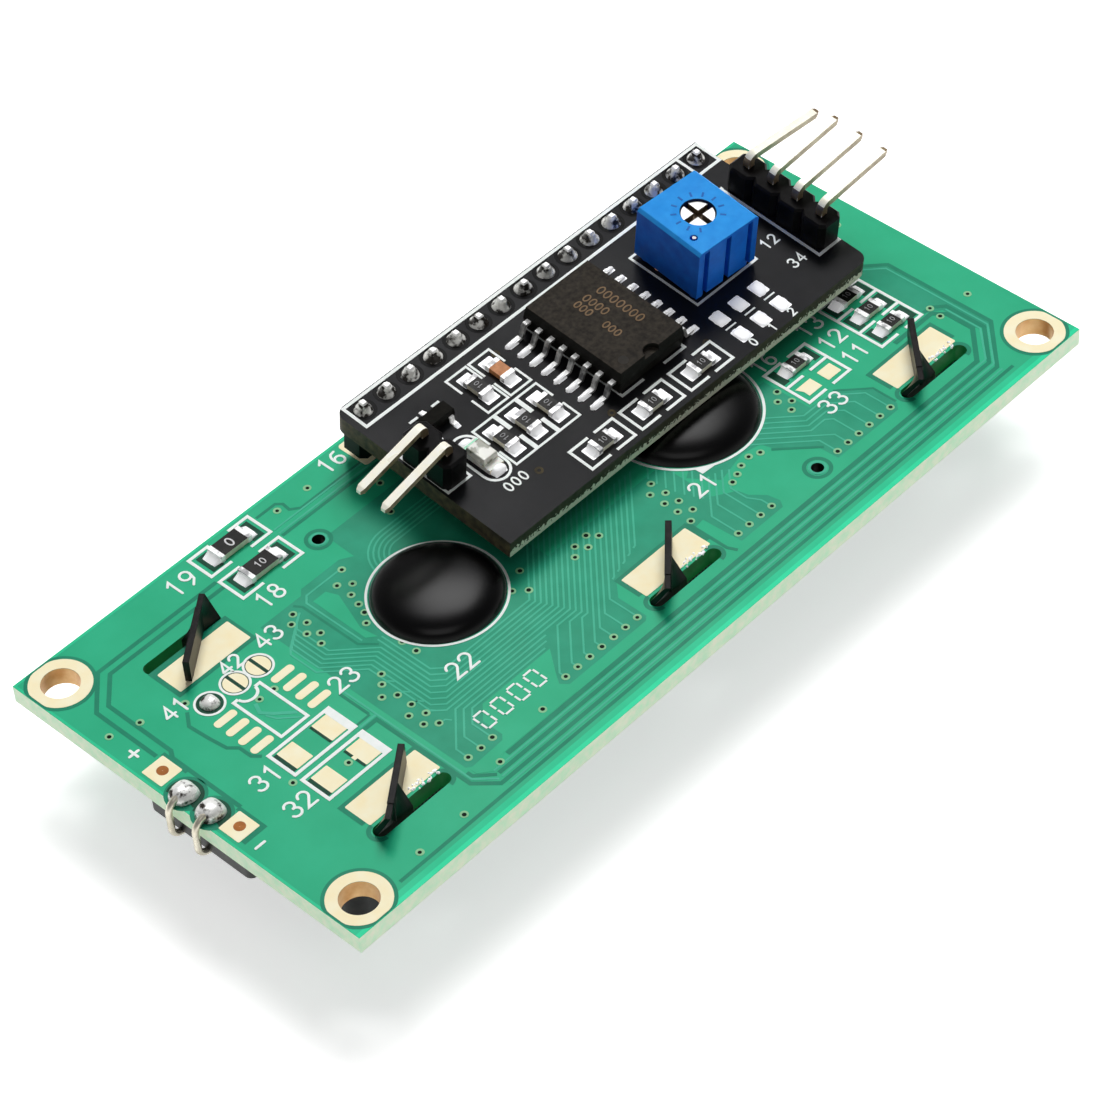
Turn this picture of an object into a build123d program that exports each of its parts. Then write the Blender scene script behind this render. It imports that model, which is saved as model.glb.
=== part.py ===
from build123d import *
import math
import os

# Character display module, lying on its bezel with the back of the board up.
# Origin: centre of the four mounting holes, on the back face of the display board.
# +X runs along the board, +Y towards the pin strip, +Z out of the back. Millimetres.

os.makedirs("parts", exist_ok=True)

# Display board
board_length = 80.0
board_width = 36.0
board_thickness = 1.6
mount_hole_diameter = 3.0
mount_hole_inset = 2.5
row_hole_diameter = 1.35
small_hole_sides = 8
feed_hole_diameter = 1.1
feed_hole_left_inset_x = 25.1
feed_hole_left_inset_y = 6.5
feed_hole_right_inset_x = 25.0
feed_hole_right_inset_y = 5.7
pad_hole_diameter = 0.8
pad_hole_inset = 1.6
pad_hole_far_y = 3.55
pad_hole_near_y = -4.5

# Steel bezel on the front of the board
bezel_end_inset = 4.4
bezel_side_inset = 5.85
bezel_depth = 7.0
bezel_sheet = 0.5
bezel_shift_y = -0.4
bezel_corner_radius = 1.2
bezel_edge_radius = 0.45
window_end_margin = 3.35
window_side_margin = 4.15
window_bevel = 0.35

# Twisted tabs of the bezel, in slots through the board
slot_length = 7.5
slot_width = 1.2
slot_end_margin = 6.6
tab_neck_width = 3.5
tab_neck_offset = 1.9
tab_root = 1.5
tab_head_reach = 5.25
tab_head_back = 0.3
tab_head_height = 2.0
tab_lift = 0.15
far_tab_twist = 37.0
near_tab_twist = 41.5
near_tab_twist_change = 4.7
tab_twist_step = 0.06

# Glass cell, backlight and contact strips behind the bezel
glass_thickness = 1.1
film_thickness = 0.2
cell_gap = 0.2
glass_clearance = 0.45
film_lap = 0.7
guide_lap = 0.2
guide_thickness = 2.6
frame_gap = 0.3
contact_strip_end_gap = 3.7
contact_strip_width = 1.8
contact_strip_inset = 0.3

# Backlight carrier that reaches past the end of the bezel, and its two leads
carrier_width = 10.6
carrier_thickness = 1.2
carrier_shift_y = -1.5
carrier_end_inset = 0.1
carrier_corner_radius = 0.6
lead_diameter = 0.55
lead_spacing = 2.75
lead_shift_y = -0.8
lead_joint_inset = 1.05
lead_joint_radius = 1.05
lead_joint_height = 0.85
lead_edge_gap = 0.35
lead_height = 0.2
lead_bend_radius = 1.0
lead_overlap = 1.6

# Epoxy domes over the two bonded chips
dome_left_radius = 4.95
dome_left_height = 1.25
dome_left_inset_x = 26.9
dome_left_y = 0.65
dome_right_radius = 6.0
dome_right_height = 1.35
dome_right_inset_x = 27.1
dome_right_y = -0.25

# Chip resistors: large and small size
large_chip_length = 3.2
large_chip_width = 1.6
large_chip_height = 0.55
small_chip_length = 2.0
small_chip_width = 1.25
small_chip_height = 0.5
chip_end_length = 0.4
chip_step = 0.03
large_resistor_strip_gap = 13.65
large_resistor_inset_y = 5.25
large_resistor_pitch = 3.35
large_resistor_count = 2
right_resistor_inset_x = 9.0
right_resistor_inset_y = 11.71
right_resistor_pitch = 2.27
right_resistor_count = 3
lone_resistor_inset_x = 17.45
lone_resistor_inset_y = 14.35

# Solder bridge on a round pad pair
bridge_inset_x = 8.2
bridge_y = 5.7
bridge_radius = 0.8
bridge_height = 0.45

# Pin strips: square pins on one pitch
pitch = 2.54
pin_size = 0.64
pin_tip = 0.35
pin_tip_angle = 20.0
cell_chamfer = 0.45
strip_height = 2.54
strip_edge = 0.18
strip_count = 16
strip_inset_y = 2.5
first_pin_inset = 8.0
pin_hole_diameter = 1.0

# Adapter board, held on the long strip and tilted about it
adapter_length = 41.3
adapter_width = 18.45
adapter_thickness = 1.6
adapter_row_inset = 1.35
adapter_shift_x = -0.18
adapter_tilt = 6.72
strip_gap = 0.87
adapter_corner_radius = 1.0
pin_above_adapter = 0.9
pin_below_board = 1.6
joint_radius = 0.82
joint_top_radius = 0.42
joint_height = 0.75
joint_sides = 8

# Wide chip with sixteen leads
chip_length = 10.2
chip_width = 7.3
chip_x = -0.70
chip_y = -7.9
chip_height = 2.35
chip_standoff = 0.15
chip_draft = 7.0
chip_lead_span = 10.9
chip_lead_pitch = 1.27
chip_lead_width = 0.42
chip_lead_thickness = 0.26
chip_lead_count = 8
chip_lead_shoulder = 0.55
chip_lead_lean = 0.35
chip_lead_radius = 0.2
chip_notch_radius = 0.8
chip_notch_depth = 0.45

# Small three-lead transistor
transistor_length = 2.9
transistor_width = 1.3
transistor_height = 1.0
transistor_x = -16.15
transistor_y = -4.85
transistor_span = 2.5
transistor_lead_width = 0.42
transistor_lead_thickness = 0.14
transistor_lead_pitch = 1.9
transistor_lead_shoulder = 0.12
transistor_lead_lean = 0.08
transistor_lead_radius = 0.08

# Status lamp
lamp_length = 3.2
lamp_width = 1.5
lamp_base_height = 0.45
lamp_lens_length = 2.0
lamp_lens_height = 0.6
lamp_x = -16.3
lamp_y = -9.8

# Trimmer
trimmer_length = 6.55
trimmer_width = 6.85
trimmer_height = 4.9
trimmer_standoff = 0.45
trimmer_x = 10.5
trimmer_y = -7.4
trimmer_turn = -3.0
trimmer_bevel = 0.25
trimmer_groove_width = 0.55
trimmer_groove_depth = 0.45
trimmer_groove_pitch = 2.4
trimmer_groove_count = 3
trimmer_foot_diameter = 1.1
trimmer_foot_inset = 0.8
trimmer_dimple_radius = 0.32
trimmer_dimple_depth = 0.5
trimmer_dimple_x = -2.25
trimmer_dimple_y = -1.75
trimmer_pin_diameter = 0.5
trimmer_pin_spread = 2.54
trimmer_pin_offset = 1.27
trimmer_pin_below = 1.0
rotor_diameter = 2.7
rotor_height = 1.2
rotor_recess = 0.2
rotor_gap = 0.1
rotor_stub_diameter = 1.3
rotor_stub_height = 1.4
rotor_slot_width = 0.5
rotor_slot_depth = 0.55

# Bent pin headers at the ends of the adapter
output_count = 4
output_x = 19.45
output_y = -8.87
output_reach = 7.65
output_rise = 5.5
output_first_rise = 0.8
output_first_skew = 3.9
link_count = 2
link_x = -19.3
link_y = -7.78
link_reach = 7.4
link_droop = 7.0
link_skew = 4.7
bend_height = 0.95
bend_radius = 0.55
pin_under_adapter = 1.1
under_joint_radius = 0.8
under_joint_height = 0.7

# Small parts on the adapter, along the near edge and in two rows at its left
edge_part_y = -15.3
edge_part_x = -8.8
edge_part_pitch = 5.6
edge_part_count = 3
cluster_x = -8.95
cluster_pitch = 2.42
cluster_count = 3
upper_row_y = -4.75
lower_row_y = -9.8

# Heights and places worked out from the sizes above
board_back = 0.0
board_front = board_back - board_thickness
bezel_face = board_front - bezel_depth
bezel_length = board_length - 2 * bezel_end_inset
bezel_width = board_width - 2 * bezel_side_inset
bezel_inner_length = bezel_length - 2 * bezel_sheet
bezel_inner_width = bezel_width - 2 * bezel_sheet
window_length = bezel_length - 2 * window_end_margin
window_width = bezel_width - 2 * window_side_margin
front_glass_length = bezel_inner_length - 2 * glass_clearance
front_glass_width = bezel_inner_width - 2 * glass_clearance
frame_width = bezel_inner_width - 2 * (contact_strip_inset + contact_strip_width + frame_gap)
rear_glass_width = frame_width
film_length = window_length + 2 * film_lap
film_width = window_width + 2 * film_lap
guide_length = window_length + 2 * guide_lap
guide_width = window_width - 2 * guide_lap
contact_strip_length = front_glass_length - 2 * contact_strip_end_gap
front_film_bottom = bezel_face + bezel_sheet
front_glass_bottom = front_film_bottom + film_thickness
front_glass_top = front_glass_bottom + glass_thickness
rear_glass_top = front_glass_top + glass_thickness
rear_film_top = rear_glass_top + film_thickness
slot_offset_y = bezel_width / 2 - bezel_sheet / 2
slot_spacing = bezel_length / 2 - slot_end_margin
board_end = board_length / 2
board_side = board_width / 2
hole_x = board_end - mount_hole_inset
hole_y = board_side - mount_hole_inset
strip_y = board_side - strip_inset_y
strip_x = board_end - first_pin_inset - (strip_count - 1) * pitch / 2
last_pin_x = board_end - first_pin_inset - (strip_count - 1) * pitch
feed_hole_left = (feed_hole_left_inset_x - board_end, board_side - feed_hole_left_inset_y)
feed_hole_right = (board_end - feed_hole_right_inset_x, feed_hole_right_inset_y - board_side)
pad_hole_x = pad_hole_inset - board_end
carrier_end = carrier_end_inset - board_end
lead_joint_x = lead_joint_inset - board_end
adapter_height = strip_gap + strip_height + adapter_thickness
adapter_place = Location((strip_x, strip_y, board_back), (adapter_tilt, 0, 0)) * Pos(0, 0, adapter_height)
trimmer_place = adapter_place * Location((trimmer_x, trimmer_y, 0), (0, 0, trimmer_turn))


def save(name, shape):
    """Write one piece as a STEP file."""
    export_step(shape, f"parts/{name}.step")


def centred(count, step):
    """Places of a row of things about its middle."""
    return [(i - (count - 1) / 2) * step for i in range(count)]


def slab(length, width, height, radius=0.0):
    """Flat block standing on the plane, with round corners where asked."""
    outline = RectangleRounded(length, width, radius) if radius else Rectangle(length, width)
    return extrude(outline, amount=height)


def slot_places():
    """Centres of the six tab slots, with the side of the board that each is on."""
    for side in (-1, 1):
        for x in centred(3, slot_spacing):
            yield x, bezel_shift_y + side * slot_offset_y, side


def small_hole(diameter):
    """Outline of a small plated hole, with few sides, as solder and a pin fill it."""
    return RegularPolygon(diameter / 2, small_hole_sides)


def lcd_board():
    """Green board with mounting holes, tab slots, the pin row and the lead pads."""
    outline = Rectangle(board_length, board_width)
    holes = [Pos(x, y) * Circle(mount_hole_diameter / 2) for x in (-hole_x, hole_x) for y in (-hole_y, hole_y)]
    slots = [Pos(x, y) * SlotOverall(slot_length, slot_width) for x, y, side in slot_places()]
    row = [Pos(strip_x + x, strip_y) * small_hole(row_hole_diameter) for x in centred(strip_count, pitch)]
    feed = [Pos(x, y) * Circle(feed_hole_diameter / 2) for x, y in (feed_hole_left, feed_hole_right)]
    pads = [Pos(pad_hole_x, y) * Circle(pad_hole_diameter / 2) for y in (pad_hole_far_y, pad_hole_near_y)]
    outline -= holes + slots + row + feed + pads
    return Pos(0, 0, board_front) * extrude(outline, amount=board_thickness)


def twisted_tab(x, y, side):
    """One tab: a neck in the slot that twists above the board, with a long head over the pad."""
    turn = far_tab_twist
    if side < 0:
        turn = near_tab_twist + near_tab_twist_change * x / slot_spacing
    neck = Rectangle(tab_neck_width, bezel_sheet)
    rise = board_thickness + tab_lift
    straight = Pos(0, 0, -tab_root) * extrude(neck, amount=tab_root + rise)
    slim = Rectangle(tab_neck_width - tab_twist_step, bezel_sheet - tab_twist_step)
    top = Location((0, 0, rise + tab_head_height - tab_twist_step), (0, 0, turn))
    twist = loft([Pos(0, 0, rise) * neck, top * slim])
    head = slab(tab_head_reach + tab_head_back, bezel_sheet, tab_head_height)
    head = Location((0, 0, rise), (0, 0, turn)) * Pos((tab_head_reach - tab_head_back) / 2, 0, 0) * head
    tab = straight + twist + head
    if side > 0:
        tab = Rot(0, 0, 180) * tab
    return Pos(x + side * tab_neck_offset, y, board_front) * tab


def bezel_frame():
    """Folded steel tray with a bevelled window, a gap for the carrier, and six tabs."""
    tray = slab(bezel_length, bezel_width, bezel_depth, bezel_corner_radius)
    tray = fillet(tray.faces().sort_by(Axis.Z)[0].edges(), bezel_edge_radius)
    inner = slab(bezel_inner_length, bezel_inner_width, bezel_depth, bezel_corner_radius - bezel_sheet)
    tray -= Pos(0, 0, bezel_sheet) * inner
    wide = Rectangle(window_length + 2 * window_bevel, window_width + 2 * window_bevel)
    tray -= loft([wide, Pos(0, 0, bezel_sheet) * Rectangle(window_length, window_width)])
    gap = slab(2 * bezel_sheet, carrier_width + 2 * cell_gap, carrier_thickness + cell_gap)
    tray -= Pos(-bezel_length / 2, carrier_shift_y - bezel_shift_y, bezel_depth - carrier_thickness - cell_gap) * gap
    tray = Pos(0, bezel_shift_y, bezel_face) * tray
    for x, y, side in slot_places():
        tray += twisted_tab(x, y, side)
    return tray


def cell_layer(length, width, bottom, thickness):
    """One flat layer of the glass cell, centred behind the window."""
    return Pos(0, bezel_shift_y, bottom) * slab(length, width, thickness)


def contact_strip(side):
    """Springy striped rubber that joins the glass to the board."""
    y = bezel_shift_y + side * (bezel_inner_width / 2 - contact_strip_inset - contact_strip_width / 2)
    return Pos(0, y, front_glass_top) * slab(contact_strip_length, contact_strip_width, board_front - front_glass_top)


def backlight_frame():
    """White tray that holds the light guide flat against the back of the glass."""
    length = bezel_inner_length - 2 * cell_gap
    frame = slab(length, frame_width, board_front - rear_film_top)
    frame -= slab(guide_length + cell_gap, guide_width + cell_gap, guide_thickness)
    notch = slab((length - guide_length) / 2, carrier_width + cell_gap, carrier_thickness)
    notch_x = -(length + guide_length) / 4
    notch_z = board_front - rear_film_top - carrier_thickness
    frame -= Pos(notch_x, carrier_shift_y - bezel_shift_y, notch_z) * notch
    return Pos(0, bezel_shift_y, rear_film_top) * frame


def led_carrier():
    """Dark strip with the backlight lamps, reaching out under the end of the board."""
    inner_end = -guide_length / 2 - cell_gap
    length = inner_end - carrier_end
    place = Pos((inner_end + carrier_end) / 2, carrier_shift_y, board_front - carrier_thickness)
    return place * slab(length, carrier_width, carrier_thickness, carrier_corner_radius)


def lead_path(y):
    """Bent wire from the joint on the board, round its edge and back under it to the carrier."""
    out = -board_length / 2 - lead_edge_gap - lead_diameter / 2
    top = board_back + lead_height + lead_diameter / 2
    bottom = board_front - carrier_thickness - lead_diameter / 2
    points = [(lead_joint_x, y, top), (out, y, top), (out, y, bottom), (carrier_end + lead_overlap, y, bottom)]
    return FilletPolyline(*points, radius=lead_bend_radius)


def backlight_lead(y):
    """One round lead."""
    path = lead_path(y)
    return sweep(Plane(origin=path @ 0, z_dir=path % 0) * Circle(lead_diameter / 2), path=path)


def blob(radius, height):
    """Cap of a ball, standing on the plane: set solder or epoxy."""
    ball_radius = (radius ** 2 + height ** 2) / (2 * height)
    ball = Pos(0, 0, height - ball_radius) * Sphere(ball_radius)
    return split(ball, Plane.XY, keep=Keep.TOP)


def chip_part(length, width, height):
    """Ceramic chip part with an end cap at each end, long way along X."""
    core = Pos(0, 0, chip_step) * slab(length, width - 2 * chip_step, height - 2 * chip_step)
    for side in (-1, 1):
        core += Pos(side * (length - chip_end_length) / 2, 0, 0) * slab(chip_end_length, width, height)
    return core


def small_chip():
    """Chip part of the small size."""
    return chip_part(small_chip_length, small_chip_width, small_chip_height)


def strip_body(count):
    """Moulded strip of chamfered cells in a row along X, with a square hole for each pin."""
    cell = chamfer(Rectangle(pitch, pitch).vertices(), cell_chamfer)
    outline = Sketch() + [Pos(x, 0) * cell for x in centred(count, pitch)]
    outline -= [Pos(x, 0) * Rectangle(pin_size, pin_size) for x in centred(count, pitch)]
    body = extrude(outline, amount=strip_height)
    top = body.faces().sort_by(Axis.Z)[-1].outer_wire()
    return chamfer(top.edges(), strip_edge)


def tip():
    """Tapered end of a square pin, starting at the plane."""
    return extrude(Rectangle(pin_size, pin_size), amount=pin_tip, taper=pin_tip_angle)


def straight_pin(bottom, top):
    """Square pin along Z with both ends tapered."""
    shaft = Pos(0, 0, bottom + pin_tip) * slab(pin_size, pin_size, top - bottom - 2 * pin_tip)
    lower = Pos(0, 0, bottom + pin_tip) * Rot(180, 0, 0) * tip()
    return shaft + lower + Pos(0, 0, top - pin_tip) * tip()


def bent_pin(reach, slope, skew):
    """Square pin that comes out of the top of its strip and turns outwards, with its own slope and skew."""
    rise = strip_height + bend_height
    bottom = -adapter_thickness - pin_under_adapter
    length = reach - pin_tip
    end = (length, length * math.tan(math.radians(skew)), rise + length * math.tan(math.radians(slope)))
    path = FilletPolyline((0, 0, bottom + pin_tip), (0, 0, rise), end, radius=bend_radius)
    shaft = sweep(Plane(origin=path @ 0, z_dir=path % 0) * Rectangle(pin_size, pin_size), path=path)
    far = extrude(shaft.faces().sort_by(Axis.X)[-1], amount=pin_tip, taper=pin_tip_angle)
    near = extrude(shaft.faces().sort_by(Axis.Z)[0], amount=pin_tip, taper=pin_tip_angle)
    return shaft + far + near


def cone(radius, height):
    """Plain solder cone with few sides, standing on the plane."""
    foot = RegularPolygon(radius, joint_sides)
    return loft([foot, Pos(0, 0, height) * RegularPolygon(joint_top_radius, joint_sides)])


def joint(radius, height):
    """Solder cone round a square pin."""
    return cone(radius, height) - slab(pin_size, pin_size, height)


def front_joints():
    """Solder cones on the front of the display board, cut to the tilted pins that come through it."""
    shift = board_thickness * math.tan(math.radians(adapter_tilt))
    pins = adapter_place * (Part() + [place * long_pin for place in strip_places])
    turned = Rot(180, 0, 0) * cone(joint_radius, joint_height)
    cones = [Pos(strip_x + x, strip_y + shift, board_front) * turned for x in centred(strip_count, pitch)]
    return (Part() + cones) - pins


def adapter_board():
    """Black adapter board with its pin holes; two opposite corners are rounded."""
    middle = adapter_row_inset - adapter_width / 2
    outline = Pos(adapter_shift_x, middle) * Rectangle(adapter_length, adapter_width)
    corners = outline.vertices().sort_by(Axis.X)
    far_left = corners[:2].sort_by(Axis.Y)[-1]
    near_right = corners[2:].sort_by(Axis.Y)[0]
    outline = fillet([far_left, near_right], adapter_corner_radius)
    rows = [(x, 0) for x in centred(strip_count, pitch)]
    rows += [(output_x, output_y + y) for y in centred(output_count, pitch)]
    rows += [(link_x, link_y + y) for y in centred(link_count, pitch)]
    holes = [Pos(x, y) * small_hole(pin_hole_diameter) for x, y in rows]
    turned = Location((trimmer_x, trimmer_y, 0), (0, 0, trimmer_turn))
    holes += [turned * Pos(x, y) * small_hole(pin_hole_diameter) for x, y in trimmer_pin_places()]
    outline -= holes
    return adapter_place * Pos(0, 0, -adapter_thickness) * extrude(outline, amount=adapter_thickness)


def gull_lead(inner, reach, top, thickness, width, shoulder, lean, radius):
    """Gull-wing lead along +X: out of the body, down, and out again along the board."""
    knee = inner + shoulder
    foot = thickness / 2
    points = [(inner, 0, top), (knee, 0, top), (knee + lean, 0, foot), (reach, 0, foot)]
    path = FilletPolyline(*points, radius=radius)
    return sweep(Plane(origin=path @ 0, z_dir=path % 0) * Rectangle(thickness, width), path=path)


def moulded_body(length, width, height, draft):
    """Moulded chip body, widest at its middle, long way along Y."""
    half = height / 2
    upper = extrude(Rectangle(width, length), amount=half, taper=draft)
    return Pos(0, 0, half) * (upper + mirror(upper, Plane.XY))


def chip_body():
    """Wide chip body with a half-round notch in its near end."""
    body = Pos(0, 0, chip_standoff) * moulded_body(chip_length, chip_width, chip_height - chip_standoff, chip_draft)
    notch = Pos(0, -chip_length / 2, chip_height) * Cylinder(chip_notch_radius, 2 * chip_notch_depth)
    return adapter_place * Pos(chip_x, chip_y, 0) * (body - notch)


def chip_leads():
    """Eight leads on each side of the wide chip."""
    top = (chip_height + chip_standoff) / 2
    lead = gull_lead(chip_width / 2, chip_lead_span / 2, top, chip_lead_thickness, chip_lead_width,
                     chip_lead_shoulder, chip_lead_lean, chip_lead_radius)
    row = Part() + [Pos(0, y, 0) * lead for y in centred(chip_lead_count, chip_lead_pitch)]
    return adapter_place * Pos(chip_x, chip_y, 0) * (row + Rot(0, 0, 180) * row)


def transistor_body():
    """Small moulded body, long way along X."""
    body = Rot(0, 0, 90) * moulded_body(transistor_length, transistor_width, transistor_height, chip_draft)
    return adapter_place * Pos(transistor_x, transistor_y, 0) * body


def transistor_leads():
    """One lead at the far side and two at the near side."""
    top = transistor_height / 2
    lead = gull_lead(transistor_width / 2, transistor_span / 2, top, transistor_lead_thickness,
                     transistor_lead_width, transistor_lead_shoulder, transistor_lead_lean, transistor_lead_radius)
    leads = Rot(0, 0, 90) * lead
    for x in centred(2, transistor_lead_pitch):
        leads += Pos(x, 0, 0) * Rot(0, 0, -90) * lead
    return adapter_place * Pos(transistor_x, transistor_y, 0) * leads


def lamp_base():
    """Small base with a contact at each end, long way along Y."""
    return adapter_place * Pos(lamp_x, lamp_y, 0) * slab(lamp_width, lamp_length, lamp_base_height)


def lamp_lens():
    """Clear tapered lens on the base."""
    lens = extrude(Rectangle(lamp_width, lamp_lens_length), amount=lamp_lens_height, taper=chip_draft)
    return adapter_place * Pos(lamp_x, lamp_y, lamp_base_height) * lens


def trimmer_pin_places():
    """Three pins of the trimmer in a triangle."""
    return [(-trimmer_pin_spread, trimmer_pin_offset), (0, -trimmer_pin_offset), (trimmer_pin_spread, trimmer_pin_offset)]


def trimmer_body():
    """Square case on four feet, grooved down two sides, with a stepped bore for the rotor and a dimple."""
    case = slab(trimmer_length, trimmer_width, trimmer_height)
    case = chamfer(case.edges().filter_by(Axis.Y).sort_by(Axis.Z)[-2:], trimmer_bevel)
    groove = slab(trimmer_groove_width, 2 * trimmer_groove_depth, trimmer_height - trimmer_bevel)
    for side in (-1, 1):
        for x in centred(trimmer_groove_count, trimmer_groove_pitch):
            case -= Pos(x, side * trimmer_width / 2, 0) * groove
    wide = rotor_height + rotor_recess + rotor_gap
    case -= Pos(0, 0, trimmer_height - wide) * extrude(Circle(rotor_diameter / 2 + rotor_gap), amount=wide)
    deep = rotor_height + rotor_recess + rotor_stub_height
    case -= Pos(0, 0, trimmer_height - deep) * extrude(Circle(rotor_stub_diameter / 2 + rotor_gap), amount=deep)
    dimple = Pos(trimmer_dimple_x, trimmer_dimple_y, trimmer_height - trimmer_dimple_depth)
    case -= dimple * extrude(Circle(trimmer_dimple_radius), amount=trimmer_dimple_depth)
    case = Pos(0, 0, trimmer_standoff) * case
    foot = extrude(Circle(trimmer_foot_diameter / 2), amount=trimmer_standoff)
    for x in centred(2, trimmer_length - 2 * trimmer_foot_inset):
        for y in centred(2, trimmer_width - 2 * trimmer_foot_inset):
            case += Pos(x, y, 0) * foot
    return trimmer_place * case


def trimmer_rotor():
    """Round metal rotor with a cross slot and a stub that turns in the case."""
    rotor = extrude(Circle(rotor_diameter / 2), amount=rotor_height)
    rotor += Pos(0, 0, -rotor_stub_height) * extrude(Circle(rotor_stub_diameter / 2), amount=rotor_stub_height)
    bar = slab(rotor_diameter, rotor_slot_width, rotor_slot_depth)
    for turn in (0, 90):
        rotor -= Pos(0, 0, rotor_height - rotor_slot_depth) * Rot(0, 0, turn) * bar
    lift = trimmer_standoff + trimmer_height - rotor_recess - rotor_height
    return trimmer_place * Pos(0, 0, lift) * rotor


def trimmer_pins():
    """Three round pins from the case down through the adapter."""
    length = trimmer_standoff + adapter_thickness + trimmer_pin_below
    pin = extrude(Circle(trimmer_pin_diameter / 2), amount=length)
    pins = Part() + [Pos(x, y, -adapter_thickness - trimmer_pin_below) * pin for x, y in trimmer_pin_places()]
    return trimmer_place * pins


save("lcd_board", lcd_board())
save("bezel_frame", bezel_frame())
save("front_polarizer", cell_layer(film_length, film_width, front_film_bottom, film_thickness))
save("front_glass", cell_layer(front_glass_length, front_glass_width, front_glass_bottom, glass_thickness))
save("rear_glass", cell_layer(front_glass_length, rear_glass_width, front_glass_top, glass_thickness))
save("rear_polarizer", cell_layer(film_length, film_width, rear_glass_top, film_thickness))
save("contact_strip_far", contact_strip(1))
save("contact_strip_near", contact_strip(-1))
save("backlight_guide", cell_layer(guide_length, guide_width, rear_film_top, guide_thickness))
save("backlight_frame", backlight_frame())
save("led_carrier", led_carrier())

# Backlight leads and the solder that holds them on the board
for number, y in enumerate(centred(2, -lead_spacing), start=1):
    lead = backlight_lead(lead_shift_y + y)
    drop = Pos(lead_joint_x, lead_shift_y + y, board_back) * blob(lead_joint_radius, lead_joint_height)
    save(f"backlight_lead_{number}", lead)
    save(f"lead_joint_{number}", drop - lead)

# Domes, solder bridge and resistors on the back of the display board
dome_left = Pos(dome_left_inset_x - board_end, dome_left_y, board_back)
dome_right = Pos(board_end - dome_right_inset_x, dome_right_y, board_back)
save("epoxy_dome_left", dome_left * blob(dome_left_radius, dome_left_height))
save("epoxy_dome_right", dome_right * blob(dome_right_radius, dome_right_height))
save("solder_bridge", Pos(bridge_inset_x - board_end, bridge_y, board_back) * blob(bridge_radius, bridge_height))
large_chip = chip_part(large_chip_length, large_chip_width, large_chip_height)
for number in range(large_resistor_count):
    y = board_side - large_resistor_inset_y + number * large_resistor_pitch
    place = Pos(last_pin_x - large_resistor_strip_gap, y, board_back)
    save(f"display_resistor_{number + 1}", place * large_chip)
for number in range(right_resistor_count):
    y = right_resistor_inset_y - board_side + number * right_resistor_pitch
    place = Pos(board_end - right_resistor_inset_x, y, board_back)
    save(f"display_resistor_{large_resistor_count + number + 1}", place * small_chip())
lone_place = Pos(board_end - lone_resistor_inset_x, lone_resistor_inset_y - board_side, board_back)
save("display_resistor_6", lone_place * small_chip())

# Long pin strip between the boards
strip_places = [Pos(x, 0, 0) for x in centred(strip_count, pitch)]
long_pin = straight_pin(-adapter_height - board_thickness - pin_below_board, pin_above_adapter)
save("strip_body", adapter_place * Pos(0, 0, -adapter_thickness) * Rot(180, 0, 0) * strip_body(strip_count))
save("strip_pins", adapter_place * (Part() + [place * long_pin for place in strip_places]))
save("strip_joints", adapter_place * (Part() + [place * joint(joint_radius, joint_height) for place in strip_places]))
save("front_joints", front_joints())

# Adapter board and its chips
save("adapter_board", adapter_board())
save("chip_body", chip_body())
save("chip_leads", chip_leads())
save("transistor_body", transistor_body())
save("transistor_leads", transistor_leads())
save("lamp_base", lamp_base())
save("lamp_lens", lamp_lens())
save("trimmer_body", trimmer_body())
save("trimmer_rotor", trimmer_rotor())
save("trimmer_pins", trimmer_pins())

# Four-pin header at the right end and two-pin header at the left end
output_row = centred(output_count, pitch)
output_place = adapter_place * Pos(output_x, output_y, 0)
output_pins = Pos(0, output_row[-1], 0) * bent_pin(output_reach, output_first_rise, -output_first_skew)
output_pins += [Pos(0, y, 0) * bent_pin(output_reach, output_rise, 0) for y in output_row[:-1]]
under_joint = Pos(0, 0, -adapter_thickness) * Rot(180, 0, 0) * joint(under_joint_radius, under_joint_height)
save("output_strip", output_place * Rot(0, 0, 90) * strip_body(output_count))
save("output_pins", output_place * output_pins)
save("output_joints", output_place * (Part() + [Pos(0, y, 0) * under_joint for y in output_row]))
link_row = centred(link_count, pitch)
link_place = adapter_place * Pos(link_x, link_y, 0)
link_pin = Rot(0, 0, 180) * bent_pin(link_reach, -link_droop, link_skew)
save("link_strip", link_place * Rot(0, 0, 90) * strip_body(link_count))
save("link_pins", link_place * (Part() + [Pos(0, y, 0) * link_pin for y in link_row]))
save("link_joints", link_place * (Part() + [Pos(0, y, 0) * under_joint for y in link_row]))

# Small parts on the adapter
for number in range(edge_part_count):
    place = adapter_place * Pos(edge_part_x + number * edge_part_pitch, edge_part_y, 0)
    save(f"adapter_resistor_{number + 1}", place * small_chip())
upright = Rot(0, 0, 90) * small_chip()
for number in range(cluster_count):
    place = adapter_place * Pos(cluster_x - number * cluster_pitch, lower_row_y, 0)
    save(f"adapter_resistor_{edge_part_count + number + 1}", place * upright)
save("adapter_resistor_7", adapter_place * Pos(cluster_x - cluster_pitch, upper_row_y, 0) * upright)
save("adapter_capacitor", adapter_place * Pos(cluster_x, upper_row_y, 0) * upright)
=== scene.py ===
import bpy
import math
import random
from mathutils import Euler, Matrix, Vector


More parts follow.
